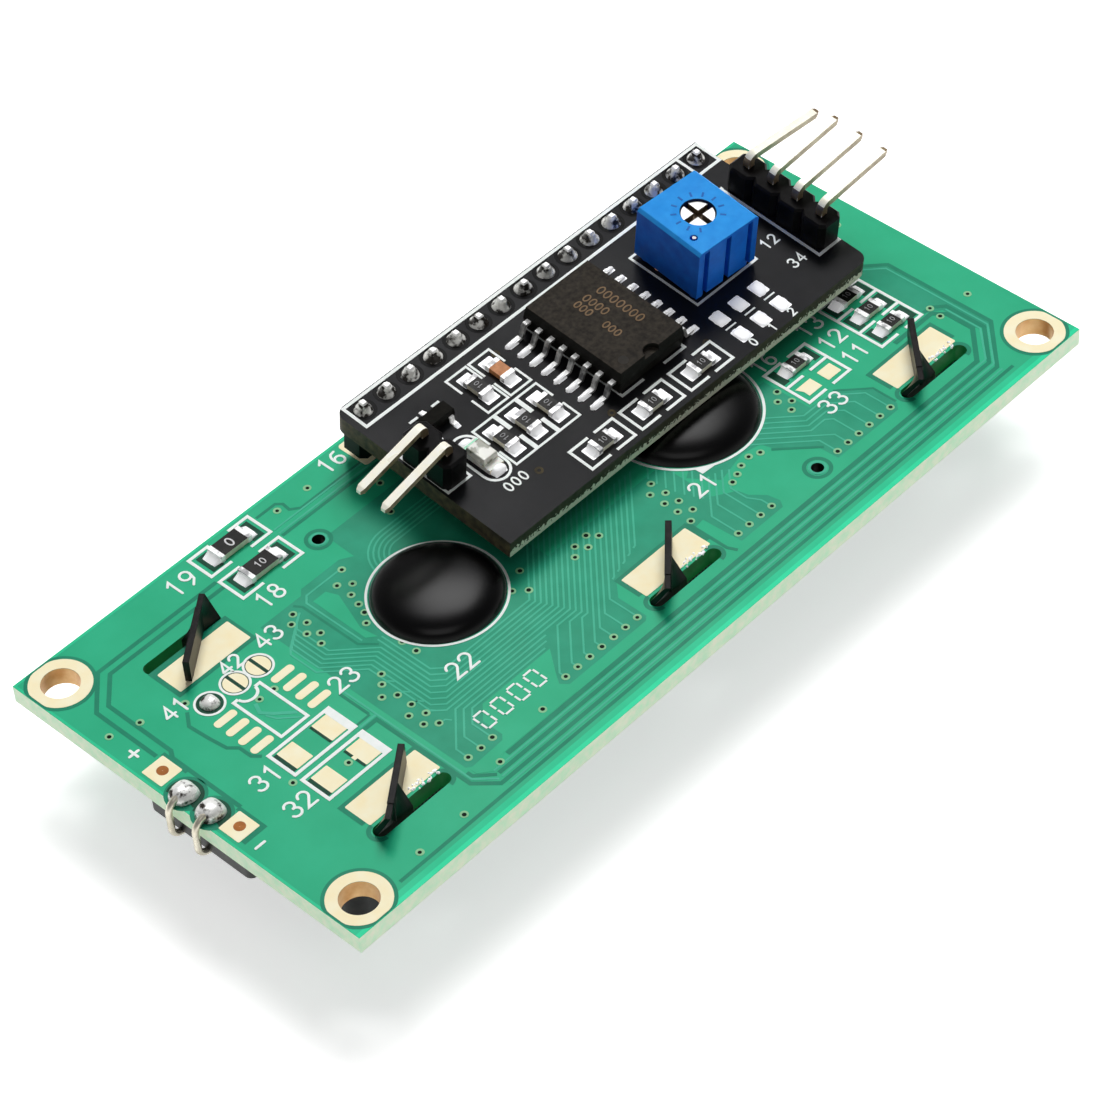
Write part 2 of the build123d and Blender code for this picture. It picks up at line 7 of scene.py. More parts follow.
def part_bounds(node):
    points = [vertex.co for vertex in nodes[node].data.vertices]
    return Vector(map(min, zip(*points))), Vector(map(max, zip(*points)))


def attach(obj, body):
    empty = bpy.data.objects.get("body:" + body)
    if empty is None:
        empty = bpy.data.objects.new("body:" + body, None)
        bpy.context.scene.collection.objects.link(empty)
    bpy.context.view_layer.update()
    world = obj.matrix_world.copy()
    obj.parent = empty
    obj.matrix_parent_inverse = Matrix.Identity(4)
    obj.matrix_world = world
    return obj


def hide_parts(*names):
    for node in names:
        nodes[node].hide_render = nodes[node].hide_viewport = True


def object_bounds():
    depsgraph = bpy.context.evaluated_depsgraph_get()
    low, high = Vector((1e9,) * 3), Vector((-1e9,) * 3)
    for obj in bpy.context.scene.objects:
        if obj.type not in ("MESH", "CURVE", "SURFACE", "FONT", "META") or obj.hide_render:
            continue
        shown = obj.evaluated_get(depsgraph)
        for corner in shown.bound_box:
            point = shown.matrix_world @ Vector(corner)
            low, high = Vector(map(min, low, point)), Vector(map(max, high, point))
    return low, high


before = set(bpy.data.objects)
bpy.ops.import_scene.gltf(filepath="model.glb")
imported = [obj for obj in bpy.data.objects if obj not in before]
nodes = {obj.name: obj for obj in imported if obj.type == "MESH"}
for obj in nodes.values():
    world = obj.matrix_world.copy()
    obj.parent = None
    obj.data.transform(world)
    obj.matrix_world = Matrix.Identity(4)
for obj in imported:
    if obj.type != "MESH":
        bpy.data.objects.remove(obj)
cad_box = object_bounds()
MM = 0.001

strip_x, strip_y, tilt = 12.95, 15.5, math.radians(6.72)
adapter_top = 5.01
adapter_thickness = 1.6
adapter_normal_height = adapter_top - strip_y * math.sin(tilt)


# Finishes

def tone(r, g, b):
    """Screen colour, 0 to 255, as the linear colour that a shader takes."""
    def linear(v):
        v = v / 255
        return v / 12.92 if v <= 0.04045 else ((v + 0.055) / 1.055) ** 2.4
    return (linear(r), linear(g), linear(b), 1.0)


def finish(name, colour, rough, second=None, metal=0.0, grain=900.0, bump=0.1, contrast=(0.3, 0.7),
           coat=0.0, coat_rough=0.1, clear=0.0, soft=0.0, ior=1.5, spread=0.1, detail=4.0, edge=0.0, shine=0.5, glow=0.0):
    """A material whose colour, roughness and fine relief vary over the surface; with glow, the colour also gives off
    light, as painted glow.
    """
    material = bpy.data.materials.new(name)
    material.use_nodes = True
    tree = material.node_tree
    shader = tree.nodes["Principled BSDF"]
    shader.inputs["Metallic"].default_value = metal
    shader.inputs["Coat Weight"].default_value = coat
    shader.inputs["Coat Roughness"].default_value = coat_rough
    shader.inputs["Transmission Weight"].default_value = clear
    shader.inputs["IOR"].default_value = ior
    shader.inputs["Specular IOR Level"].default_value = shine
    shader.inputs["Subsurface Weight"].default_value = soft
    shader.inputs["Subsurface Scale"].default_value = 0.0006
    place = tree.nodes.new("ShaderNodeTexCoord")
    noise = tree.nodes.new("ShaderNodeTexNoise")
    noise.inputs["Scale"].default_value = grain
    noise.inputs["Detail"].default_value = detail
    tree.links.new(place.outputs["Object"], noise.inputs["Vector"])
    ramp = tree.nodes.new("ShaderNodeValToRGB")
    ramp.color_ramp.elements[0].position = contrast[0]
    ramp.color_ramp.elements[1].position = contrast[1]
    first = tone(*colour)
    other = tone(*second) if second else tuple(min(1.0, v * 1.12 + 0.002) for v in first[:3]) + (1.0,)
    ramp.color_ramp.elements[0].color = first
    ramp.color_ramp.elements[1].color = other
    tree.links.new(noise.outputs["Fac"], ramp.inputs["Fac"])
    tree.links.new(ramp.outputs["Color"], shader.inputs["Base Color"])
    # Painted glow: emission in the surface's own colour, though the part is no lamp.
    if glow:
        tree.links.new(ramp.outputs["Color"], shader.inputs["Emission Color"])
        shader.inputs["Emission Strength"].default_value = glow
    wear = tree.nodes.new("ShaderNodeTexNoise")
    wear.inputs["Scale"].default_value = grain * 0.23
    wear.inputs["Detail"].default_value = 3.0
    tree.links.new(place.outputs["Object"], wear.inputs["Vector"])
    span = tree.nodes.new("ShaderNodeMapRange")
    span.inputs["To Min"].default_value = max(0.02, rough - spread)
    span.inputs["To Max"].default_value = min(1.0, rough + spread)
    tree.links.new(wear.outputs["Fac"], span.inputs["Value"])
    tree.links.new(span.outputs["Result"], shader.inputs["Roughness"])
    relief = tree.nodes.new("ShaderNodeBump")
    relief.inputs["Strength"].default_value = bump
    relief.inputs["Distance"].default_value = 0.00003
    tree.links.new(noise.outputs["Fac"], relief.inputs["Height"])
    if edge:
        rounding = tree.nodes.new("ShaderNodeBevel")
        rounding.samples = 6
        rounding.inputs["Radius"].default_value = edge * MM
        tree.links.new(rounding.outputs["Normal"], relief.inputs["Normal"])
    tree.links.new(relief.outputs["Normal"], shader.inputs["Normal"])
    return material


mask_green = finish("mask_green", (30, 172, 126), 0.36, (38, 180, 134), grain=260, bump=0.05, shine=0.3)
mask_field = finish("mask_field", (30, 148, 114), 0.38, (38, 158, 124), grain=500, bump=0.08, shine=0.3)
mask_gap = finish("mask_gap", (14, 128, 98), 0.38, (22, 138, 106), grain=500, bump=0.08, shine=0.3)
mask_trace = finish("mask_trace", (56, 176, 142), 0.36, (66, 184, 150), grain=500, bump=0.08, shine=0.3)
mask_rim = finish("mask_rim", (36, 216, 158), 0.38, (46, 226, 170), grain=300, bump=0.06, shine=0.3)
mask_rim_soft = finish("mask_rim_soft", (32, 194, 142), 0.38, (42, 204, 152), grain=300, bump=0.06, shine=0.3)
mask_via = finish("mask_via", (126, 190, 142), 0.4, (150, 204, 156), grain=900, bump=0.1, shine=0.3)
mask_dark = finish("mask_dark", (10, 62, 44), 0.42, (16, 78, 58), grain=900, bump=0.2, shine=0.3)
# slot_wall, laminate and barrel glow a little: painted light, standing in for light that passes through the board's
# laminate and brightens its edges and walls.
slot_wall = finish("slot_wall", (18, 96, 46), 0.45, (30, 128, 66), grain=420, bump=0.4, glow=0.22)
laminate = finish("laminate", (196, 232, 200), 0.65, (226, 240, 212), grain=1300, bump=0.35, contrast=(0.3, 0.7), glow=0.26)
barrel = finish("barrel", (214, 158, 88), 0.38, (246, 210, 150), metal=0.3, grain=700, bump=0.2, glow=0.06)
pad_hole = finish("pad_hole", (150, 84, 28), 0.45, (186, 116, 52), metal=0.2, grain=900, bump=0.2)
# Walls of the two feed holes painted near black: painted shade inside the holes.
hole_wall_painted_shade = finish("hole_wall_painted_shade", (16, 20, 14), 0.4, (40, 50, 36), metal=0.2, grain=900, bump=0.2)
pad_gold = finish("pad_gold", (255, 241, 198), 0.5, (255, 248, 216), grain=700, bump=0.1, shine=0.3)
silk = finish("silk", (240, 248, 244), 0.6, (253, 255, 254), grain=1500, bump=0.3)
dark_dot = finish("dark_dot", (3, 16, 10), 0.5, (8, 30, 20), grain=1500, bump=0.2, shine=0.2)
black_steel = finish("black_steel", (7, 6, 7), 0.36, (30, 26, 25), grain=1400, bump=0.15, contrast=(0.4, 0.8), edge=0.07, shine=0.25)
# solder and solder_row: a dark base broken by sharp white patches, which are painted glints and painted dark
# reflections of a shiny surface.
solder = finish("solder", (58, 53, 47), 0.26, (255, 255, 252), metal=0.3, grain=1500, bump=0.8, contrast=(0.37, 0.46), spread=0.1)
solder_row = finish("solder_row", (40, 36, 30), 0.28, (255, 255, 250), metal=0.2, grain=1300, bump=0.8, contrast=(0.44, 0.54))
# solder_dull: near white with a glow so that pads, fillets and crumbs read bright: painted glow.
solder_dull = finish("solder_dull", (250, 251, 254), 0.3, (255, 255, 255), metal=0.1, grain=1500, bump=0.7, spread=0.14, glow=0.22)
epoxy = finish("epoxy", (1, 1, 2), 0.26, (3, 3, 4), grain=260, bump=0.06, spread=0.04, shine=0.4)
adapter_mask = finish("adapter_mask", (12, 12, 15), 0.42, (18, 18, 22), grain=700, bump=0.12, shine=0.35)
adapter_side = finish("adapter_side", (44, 40, 29), 0.65, (92, 82, 58), grain=1500, bump=0.6, contrast=(0.35, 0.75), shine=0.3)
header_black = finish("header_black", (5, 4, 5), 0.42, (16, 15, 16), grain=1500, bump=0.25, edge=0.05, shine=0.15)
chip_grain = finish("chip_grain", (34, 31, 28), 0.6, (58, 53, 46), grain=2600, bump=0.5, edge=0.07, shine=0.2)
# Darker copy of the chip plastic: painted shade on the chip's sides, and the own black of the transistor body.
black_plastic_and_painted_side_shade = finish("black_plastic_and_painted_side_shade", (12, 12, 9), 0.55, (22, 21, 17), grain=2600, bump=0.4, edge=0.07, shine=0.12)
# lead_tin glows a little: painted glow that keeps leads and pins bright white.
lead_tin = finish("lead_tin", (252, 253, 250), 0.28, (255, 255, 255), metal=0.12, grain=1500, bump=0.25, glow=0.1)
lead_shade = finish("lead_shade", (96, 96, 96), 0.3, (200, 200, 198), metal=0.3, grain=900, bump=0.3, contrast=(0.4, 0.6))
# Pin finishes: the plate finish glows a little, as painted glow; the bend and side finishes are darker copies for faces
# turned away from the light, as painted shade.
pin_plate = finish("pin_plate", (255, 250, 230), 0.3, (255, 255, 244), metal=0.15, grain=1100, bump=0.2, glow=0.08)
pin_tip = finish("pin_tip", (136, 112, 84), 0.38, (186, 164, 130), metal=0.6, grain=1400, bump=0.3)
pin_bend_painted_shade = finish("pin_bend_painted_shade", (92, 78, 60), 0.35, (138, 120, 94), metal=0.4, grain=1100, bump=0.2)
pin_side_painted_shade = finish("pin_side_painted_shade", (150, 130, 102), 0.32, (206, 190, 160), metal=0.3, grain=1100, bump=0.2)
wire_tin = finish("wire_tin", (214, 206, 184), 0.28, (248, 242, 224), metal=0.7, grain=700, bump=0.3)
case_blue = finish("case_blue", (30, 142, 228), 0.5, (42, 156, 238), grain=1100, bump=0.25, soft=0.05, edge=0.09, shine=0.3)
# Deeper, darker copies of the trimmer's blue for its sides, the left side darkest: painted shade.
case_side_painted_shade = finish("case_side_painted_shade", (4, 104, 222), 0.45, (12, 122, 240), grain=900, bump=0.25, soft=0.05, edge=0.09, shine=0.4)
case_left_painted_shade = finish("case_left_painted_shade", (2, 84, 186), 0.5, (8, 100, 206), grain=900, bump=0.25, soft=0.05, edge=0.09, shine=0.3)
# Walls of the bore round the rotor painted dark blue: painted shade in the recess.
bore_painted_shade = finish("bore_painted_shade", (6, 30, 74), 0.5, (10, 44, 100), grain=1300, bump=0.2)
rotor_metal = finish("rotor_metal", (240, 240, 242), 0.28, (255, 255, 255), metal=0.5, grain=1500, bump=0.35)
# Darker brown for the rotor's slot and lower faces: painted shade in the recesses.
rotor_slot_painted_shade = finish("rotor_slot_painted_shade", (88, 74, 58), 0.45, (128, 110, 90), metal=0.2, grain=1200, bump=0.3)
overglaze = finish("overglaze", (14, 13, 12), 0.32, (28, 26, 24), grain=2200, bump=0.2, shine=0.3)
alumina = finish("alumina", (224, 218, 196), 0.5, (242, 238, 222), grain=2600, bump=0.3)
# cap_end: grey broken by sharp white patches, with a little glow: painted glints and painted glow on the tinned ends.
cap_end = finish("cap_end", (160, 160, 162), 0.26, (255, 255, 255), metal=0.2, grain=1300, bump=0.8, contrast=(0.4, 0.5), glow=0.06)
cap_brown = finish("cap_brown", (176, 112, 66), 0.45, (204, 140, 92), grain=2400, bump=0.3)
lamp_white = finish("lamp_white", (236, 238, 230), 0.42, (250, 250, 244), grain=1500, bump=0.2, soft=0.1)
lamp_lens = finish("lamp_lens", (148, 150, 132), 0.2, (252, 252, 244), grain=1100, bump=0.4, contrast=(0.4, 0.5), clear=0.35, edge=0.2)
lamp_green = finish("lamp_green", (128, 214, 176), 0.3, (166, 230, 198), grain=1500, bump=0.2)
lamp_gold = finish("lamp_gold", (240, 228, 200), 0.3, (252, 244, 224), metal=0.6, grain=1500, bump=0.2)
white_plastic = finish("white_plastic", (226, 228, 224), 0.5, (238, 240, 236), grain=900, bump=0.2, soft=0.1)
guide_clear = finish("guide_clear", (220, 232, 222), 0.16, (232, 242, 234), grain=300, bump=0.05, clear=0.5, ior=1.49)
cell_glass = finish("cell_glass", (196, 214, 204), 0.06, (206, 222, 212), grain=200, bump=0.01, clear=0.85, ior=1.52, spread=0.02)
grey_film = finish("grey_film", (120, 132, 118), 0.22, (132, 144, 128), grain=300, bump=0.03)
carrier_black = finish("carrier_black", (14, 15, 16), 0.4, (44, 44, 42), grain=1200, bump=0.3)
grey_ink = finish("grey_ink", (132, 132, 134), 0.5, (170, 170, 172), grain=1500, bump=0.2)
chip_ink = finish("chip_ink", (112, 90, 66), 0.55, (134, 110, 84), grain=2600, bump=0.3, shine=0.2)
# Near-black for rings round the feet of the header joints: painted shade.
joint_foot_painted_shade = finish("joint_foot_painted_shade", (1, 1, 2), 0.4, (5, 5, 6), grain=900, bump=0.1, shine=0.2)


def layered_edge():
    """Routed edge of the adapter board: dark above, with a pale ragged strip of cut glass fibre below."""
    material = finish("adapter_edge", (46, 43, 34), 0.65, (74, 68, 52), grain=1500, bump=0.7, shine=0.3)
    tree = material.node_tree
    place = next(n for n in tree.nodes if n.type == "TEX_COORD")
    height = tree.nodes.new("ShaderNodeVectorMath")
    height.operation = "DOT_PRODUCT"
    height.inputs[1].default_value = (0, -math.sin(tilt), math.cos(tilt))
    tree.links.new(place.outputs["Object"], height.inputs[0])
    ragged = tree.nodes.new("ShaderNodeTexNoise")
    ragged.inputs["Scale"].default_value = 3600.0
    ragged.inputs["Detail"].default_value = 2.0
    tree.links.new(place.outputs["Object"], ragged.inputs["Vector"])
    swing = tree.nodes.new("ShaderNodeMath")
    swing.operation = "MULTIPLY_ADD"
    swing.inputs[1].default_value = -1.8 * MM
    tree.links.new(ragged.outputs["Fac"], swing.inputs[0])
    tree.links.new(height.outputs["Value"], swing.inputs[2])
    share = tree.nodes.new("ShaderNodeMapRange")
    low = adapter_normal_height - adapter_thickness
    share.inputs["From Min"].default_value = (low - 0.36) * MM
    share.inputs["From Max"].default_value = (low - 0.2) * MM
    share.inputs["To Min"].default_value = 1.0
    share.inputs["To Max"].default_value = 0.0
    tree.links.new(swing.outputs["Value"], share.inputs["Value"])
    mix = tree.nodes.new("ShaderNodeMix")
    mix.data_type = "RGBA"
    mix.inputs["B"].default_value = tone(222, 220, 202)
    ramp = next(n for n in tree.nodes if n.type == "VALTORGB")
    tree.links.new(share.outputs["Result"], mix.inputs["Factor"])
    tree.links.new(ramp.outputs["Color"], mix.inputs["A"])
    tree.links.new(mix.outputs["Result"], tree.nodes["Principled BSDF"].inputs["Base Color"])
    return material


def striped_rubber():
    """Grey springy strip with fine dark stripes across it."""
    material = finish("striped_rubber", (128, 132, 136), 0.7, (146, 150, 152), grain=900, bump=0.3)
    tree = material.node_tree
    wave = tree.nodes.new("ShaderNodeTexWave")
    wave.inputs["Scale"].default_value = 900.0
    wave.inputs["Distortion"].default_value = 0.2
    place = next(n for n in tree.nodes if n.type == "TEX_COORD")
    tree.links.new(place.outputs["Object"], wave.inputs["Vector"])
    mix = tree.nodes.new("ShaderNodeMix")
    mix.data_type = "RGBA"
    mix.blend_type = "MULTIPLY"
    mix.inputs["Factor"].default_value = 0.6
    ramp = next(n for n in tree.nodes if n.type == "VALTORGB")
    shader = tree.nodes["Principled BSDF"]
    tree.links.new(ramp.outputs["Color"], mix.inputs["A"])
    tree.links.new(wave.outputs["Color"], mix.inputs["B"])
    tree.links.new(mix.outputs["Result"], shader.inputs["Base Color"])
    return material


def screen_film():
    """Dark film over the display, with the faint grid of its dots."""
    material = finish("screen_film", (44, 62, 30), 0.2, (50, 68, 34), grain=120, bump=0.02, coat=0.6, coat_rough=0.05)
    tree = material.node_tree
    place = next(n for n in tree.nodes if n.type == "TEX_COORD")
    brick = tree.nodes.new("ShaderNodeTexBrick")
    brick.offset = 0.0
    brick.inputs["Scale"].default_value = 1000.0
    brick.inputs["Mortar Size"].default_value = 0.05
    brick.inputs["Brick Width"].default_value = 0.6
    brick.inputs["Row Height"].default_value = 0.62
    brick.inputs["Color1"].default_value = tone(48, 66, 34)
    brick.inputs["Color2"].default_value = tone(52, 70, 36)
    brick.inputs["Mortar"].default_value = tone(66, 84, 46)
    tree.links.new(place.outputs["Object"], brick.inputs["Vector"])
    mix = tree.nodes.new("ShaderNodeMix")
    mix.data_type = "RGBA"
    mix.inputs["Factor"].default_value = 0.7
    ramp = next(n for n in tree.nodes if n.type == "VALTORGB")
    tree.links.new(ramp.outputs["Color"], mix.inputs["A"])
    tree.links.new(brick.outputs["Color"], mix.inputs["B"])
    tree.links.new(mix.outputs["Result"], tree.nodes["Principled BSDF"].inputs["Base Color"])
    return material


rubber = striped_rubber()
screen = screen_film()
adapter_edge = layered_edge()


# Materials on the CAD nodes

def local(vector, place):
    """A point in millimetres in the frame of a board."""
    return (place.inverted() @ vector) / MM


def paint(name, materials, rule=None):
    """Give a CAD node its materials, by the place and direction of each face where asked."""
    mesh = nodes[name].data
    mesh.materials.clear()
    for material in materials:
        mesh.materials.append(material)
    for polygon in mesh.polygons:
        polygon.material_index = rule(polygon.center / MM, polygon.normal) if rule else 0


board_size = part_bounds("lcd_board")
half_x = board_size[1].x / MM
half_y = board_size[1].y / MM
board_bottom = board_size[0].z / MM
hole_x, hole_y = half_x - 2.5, half_y - 2.5
adapter = Matrix.Translation((strip_x * MM, strip_y * MM, 0)) @ Matrix.Rotation(tilt, 4, "X") @ Matrix.Translation((0, 0, adapter_top * MM))
adapter_back = adapter.inverted()
board = Matrix.Identity(4)


def on_adapter(centre, normal):
    """Place and direction of a face in the frame of the adapter, in millimetres."""
    return adapter_back @ (centre * MM) / MM, adapter_back.to_3x3() @ normal


def board_rule(centre, normal):
    if abs(normal.z) > 0.9:
        return 0
    if abs(abs(centre.x) - half_x) < 0.05 or abs(abs(centre.y) - half_y) < 0.05:
        return 1
    if abs(abs(centre.y + 0.4) - 11.9) < 0.7 and min(abs(centre.x - x) for x in (-29, 0, 29)) < 3.9:
        return 3
    # Feed-hole walls get the dark finish that stands for shade inside them.
    feed = min(math.hypot(centre.x - x, centre.y - y) for x, y in ((-14.9, 11.5), (15.05, -12.3))) < 0.7
    return 4 if feed else 2


def adapter_rule(centre, normal):
    spot, way = on_adapter(centre, normal)
    if abs(way.z) > 0.9:
        return 0
    if way.y < -0.7 and spot.y < -17:
        return 1
    if abs(spot.x) > 19.5 or spot.y > 1.2:
        return 2
    return 3


def chip_part_rule(length, along, turned):
    """End caps, dark top and pale sides of a chip part, long way along X or Y."""
    def rule(centre, normal):
        spot, way = on_adapter(centre, normal) if turned else (centre, normal)
        offset = (spot.x, spot.y)[along[0]] - along[1]
        if abs(offset) > length / 2 - 0.41:
            return 0
        return 1 if way.z > 0.7 else 2
    return rule


def trimmer_rule(centre, normal):
    spot, way = on_adapter(centre, normal)
    reach = math.hypot(spot.x - 10.5, spot.y + 7.4)
    # Faces in the bore round the rotor get the dark finish that stands for shade in the recess.
    if reach < 1.55 and abs(way.z) < 0.5 or reach < 1.5:
        return 2
    # Top faces take the lit blue; side faces take darker copies, the left-facing ones darkest: painted shade.
    if way.z > 0.6:
        return 0
    return 3 if way.x < -0.7 else 1


def pin_rule(row, outward, tip):
    def rule(centre, normal):
        spot, way = on_adapter(centre, normal)
        if (spot.x - row) * outward > tip or spot.z < -2.3:
            return 1
        # Upright faces at the bend and faces turned sideways get darker copies of the plating: painted shade.
        if abs(spot.x - row) < 0.55 and spot.z > 0 and way.z < 0.5:
            return 2
        return 3 if abs(way.y) > 0.7 else 0
    return rule


paint("lcd_board", [mask_green, laminate, barrel, slot_wall, hole_wall_painted_shade], board_rule)
paint("adapter_board", [adapter_mask, adapter_edge, adapter_side, barrel], adapter_rule)
paint("trimmer_body", [case_blue, case_side_painted_shade, bore_painted_shade, case_left_painted_shade], trimmer_rule)
paint("output_pins", [pin_plate, pin_tip, pin_bend_painted_shade, pin_side_painted_shade], pin_rule(19.45, 1, 7.25))
paint("link_pins", [pin_plate, pin_tip, pin_bend_painted_shade, pin_side_painted_shade], pin_rule(-19.3, -1, 9.0))
plain = {
    "bezel_frame": black_steel, "front_polarizer": screen, "front_glass": cell_glass, "rear_glass": cell_glass,
    "rear_polarizer": grey_film, "contact_strip_far": rubber, "contact_strip_near": rubber,
    "backlight_guide": guide_clear, "backlight_frame": white_plastic, "led_carrier": carrier_black,
    "backlight_lead_1": wire_tin, "backlight_lead_2": wire_tin, "lead_joint_1": solder, "lead_joint_2": solder,
    "epoxy_dome_left": epoxy, "epoxy_dome_right": epoxy, "solder_bridge": solder, "strip_body": header_black,
    "strip_pins": lead_tin, "strip_joints": solder, "front_joints": solder, "transistor_body": black_plastic_and_painted_side_shade, "transistor_leads": lead_tin, "lamp_lens": lamp_lens,
    "trimmer_pins": lead_tin, "output_strip": header_black,
    "link_strip": header_black, "output_joints": solder, "link_joints": solder,
}
for name, material in plain.items():
    paint(name, [material])
# Only the rotor's top faces keep the bright metal; slot and lower faces get the darker finish, as painted shade.
paint("trimmer_rotor", [rotor_metal, rotor_slot_painted_shade], lambda c, n: 0 if on_adapter(c, n)[1].z > 0.9 and on_adapter(c, n)[0].z > 5.0 else 1)
paint("lamp_base", [lamp_white, lamp_gold], lambda c, n: 1 if abs(on_adapter(c, n)[0].y + 9.8) > 1.15 else 0)

# Top faces of the chip and its leads take the lit finishes; the body's sides and the leads' other faces take darker
# copies: painted shade.
paint("chip_body", [chip_grain, black_plastic_and_painted_side_shade], lambda c, n: 0 if on_adapter(c, n)[1].z > 0.7 else 1)
paint("chip_leads", [lead_tin, lead_shade], lambda c, n: 0 if on_adapter(c, n)[1].z > 0.9 else 1)

resistors = {
    "display_resistor_1": (3.2, (0, -19.75), False), "display_resistor_2": (3.2, (0, -19.75), False),
    "display_resistor_3": (2.0, (0, 31.0), False), "display_resistor_4": (2.0, (0, 31.0), False),
    "display_resistor_5": (2.0, (0, 31.0), False), "display_resistor_6": (2.0, (0, 22.55), False),
    "adapter_resistor_1": (2.0, (0, -8.8), True), "adapter_resistor_2": (2.0, (0, -3.2), True),
    "adapter_resistor_3": (2.0, (0, 2.4), True), "adapter_resistor_4": (2.0, (1, -9.8), True),
    "adapter_resistor_5": (2.0, (1, -9.8), True), "adapter_resistor_6": (2.0, (1, -9.8), True),
    "adapter_resistor_7": (2.0, (1, -4.75), True),
}
for name, (length, along, turned) in resistors.items():
    paint(name, [cap_end, overglaze, alumina], chip_part_rule(length, along, turned))
paint("adapter_capacitor", [cap_end, cap_brown, cap_brown], chip_part_rule(2.0, (1, -4.75), True))


# Flat shapes

class Sheet:
    """Thin raised shapes of one finish on one plane, gathered into one mesh. Millimetres."""

    def __init__(self, low, high, layers=4):
        self.low, self.base, self.layers = low, high, layers
        self.high = high
        self.points, self.faces, self.count = [], [], 0

    def add(self, points, faces):
        """Each shape is a hair higher than the one before, so that crossing shapes never share a plane."""
        start = len(self.points)
        self.points += points
        self.faces += [[start + i for i in face] for face in faces]
        self.count += 1
        self.high = self.base + 0.0006 * (self.count % self.layers)

    def shape(self, outline):
        count = len(outline)
        area = sum(outline[i - 1][0] * outline[i][1] - outline[i][0] * outline[i - 1][1] for i in range(count))
        if area < 0:
            outline = outline[::-1]
        points = [(x, y, self.low) for x, y in outline] + [(x, y, self.high) for x, y in outline]
        faces = [list(range(count, 2 * count))]
        faces += [[i, (i + 1) % count, count + (i + 1) % count, count + i] for i in range(count)]
        self.add(points, faces)

    def box(self, x0, y0, x1, y1, corner=0.0):
        if not corner:
            self.shape([(x0, y0), (x1, y0), (x1, y1), (x0, y1)])
            return
        outline = []
        for cx, cy, start in ((x1 - corner, y1 - corner, 0), (x0 + corner, y1 - corner, 90),
                              (x0 + corner, y0 + corner, 180), (x1 - corner, y0 + corner, 270)):
            outline += bow(cx, cy, corner, corner, start, start + 90, 5)
        self.shape(outline)

    def disc(self, x, y, radius, sides=20):
        self.shape([(x + radius * math.cos(a), y + radius * math.sin(a)) for a in turns(sides)])

    def ring(self, x, y, inner, outer, sides=32, start=0, end=360):
        whole = end - start == 360
        steps = sides if whole else sides + 1
        angles = [math.radians(start + (end - start) * i / sides) for i in range(steps)]
        points = []
        for a in angles:
            c, s = math.cos(a), math.sin(a)
            points += [(x + inner * c, y + inner * s, self.low), (x + outer * c, y + outer * s, self.low),
                       (x + outer * c, y + outer * s, self.high), (x + inner * c, y + inner * s, self.high)]
        faces = []
        for i in range(sides):
            a, b = 4 * i, 4 * ((i + 1) % steps)
            faces += [[a + 3, a + 2, b + 2, b + 3], [a + 1, b + 1, b + 2, a + 2], [b, a, a + 3, b + 3]]
        self.add(points, faces)

    def clipped_ring(self, x, y, inner, outer, limit_x, limit_y, sides=48):
        """A ring cut flat where it meets the board's edges."""
        inside = [(x + inner * math.cos(a), y + inner * math.sin(a)) for a in turns(sides)]
        outside = [(x + outer * math.cos(a), y + outer * math.sin(a)) for a in turns(sides)]
        outside = [(max(-limit_x, min(limit_x, px)), max(-limit_y, min(limit_y, py))) for px, py in outside]
        points = [(px, py, self.high) for px, py in inside + outside] + [(px, py, self.low) for px, py in outside]
        faces = []
        for i in range(sides):
            j = (i + 1) % sides
            faces += [[i, sides + i, sides + j, j], [sides + i, 2 * sides + i, 2 * sides + j, sides + j]]
        self.add(points, faces)

    def line(self, path, width, closed=False, rounded=False):
        """A band of even width along a path, with mitred corners."""
        path = [Vector(p) for p in path]
        count, half = len(path), width / 2
        left, right = [], []
        for i, point in enumerate(path):
            before = (point - path[i - 1]).normalized() if i or closed else None
            after = (path[(i + 1) % count] - point).normalized() if i < count - 1 or closed else None
            before = before or after
            after = after or before
            way = (before + after).normalized()
            side = Vector((-way.y, way.x))
            reach = half / max(0.4, side.dot(Vector((-before.y, before.x))))
            left.append(point + side * reach)
            right.append(point - side * reach)
        outline = right + left[::-1]
        if closed:
            points, faces = [], []
            for a, b in zip(left, right):
                points += [(b.x, b.y, self.low), (a.x, a.y, self.low), (a.x, a.y, self.high), (b.x, b.y, self.high)]
            for i in range(count):
                a, b = 4 * i, 4 * ((i + 1) % count)
                faces += [[a + 3, b + 3, b + 2, a + 2], [a, b, b + 3, a + 3], [b + 1, a + 1, a + 2, b + 2]]
            self.add(points, faces)
            return
        if rounded:
            end = math.degrees(math.atan2(*(right[-1] - path[-1]).yx))
            start = math.degrees(math.atan2(*(left[0] - path[0]).yx))
            cap = [Vector(p) for p in bow(path[-1].x, path[-1].y, half, half, end, end + 180, 6)[1:-1]]
            other = [Vector(p) for p in bow(path[0].x, path[0].y, half, half, start, start + 180, 6)[1:-1]]
            outline = right + cap + left[::-1] + other
        points = [(p.x, p.y, self.low) for p in outline] + [(p.x, p.y, self.high) for p in outline]
        total = len(outline)
        extra = len(cap) if rounded else 0
        faces = [[i, (i + 1) % total, total + (i + 1) % total, total + i] for i in range(total)]
        for i in range(count - 1):
            j = 2 * count + extra - 1 - i
            faces.append([total + i, total + i + 1, total + j - 1, total + j])
        if rounded:
            faces.append([total + count - 1] + [total + count + i for i in range(extra)] + [total + count + extra])
            faces.append([total + total - 1 - len(other)] + [total + total - len(other) + i for i in range(len(other))] + [total])
        self.add(points, faces)

    def build(self, name, material, place=board, body="module", slot=None):
        mesh = bpy.data.meshes.new(name)
        mesh.from_pydata([place @ (Vector(p) * MM) for p in self.points], [], self.faces)
        mesh.update()
        mesh.materials.append(material)
        return keep(name, mesh, body)


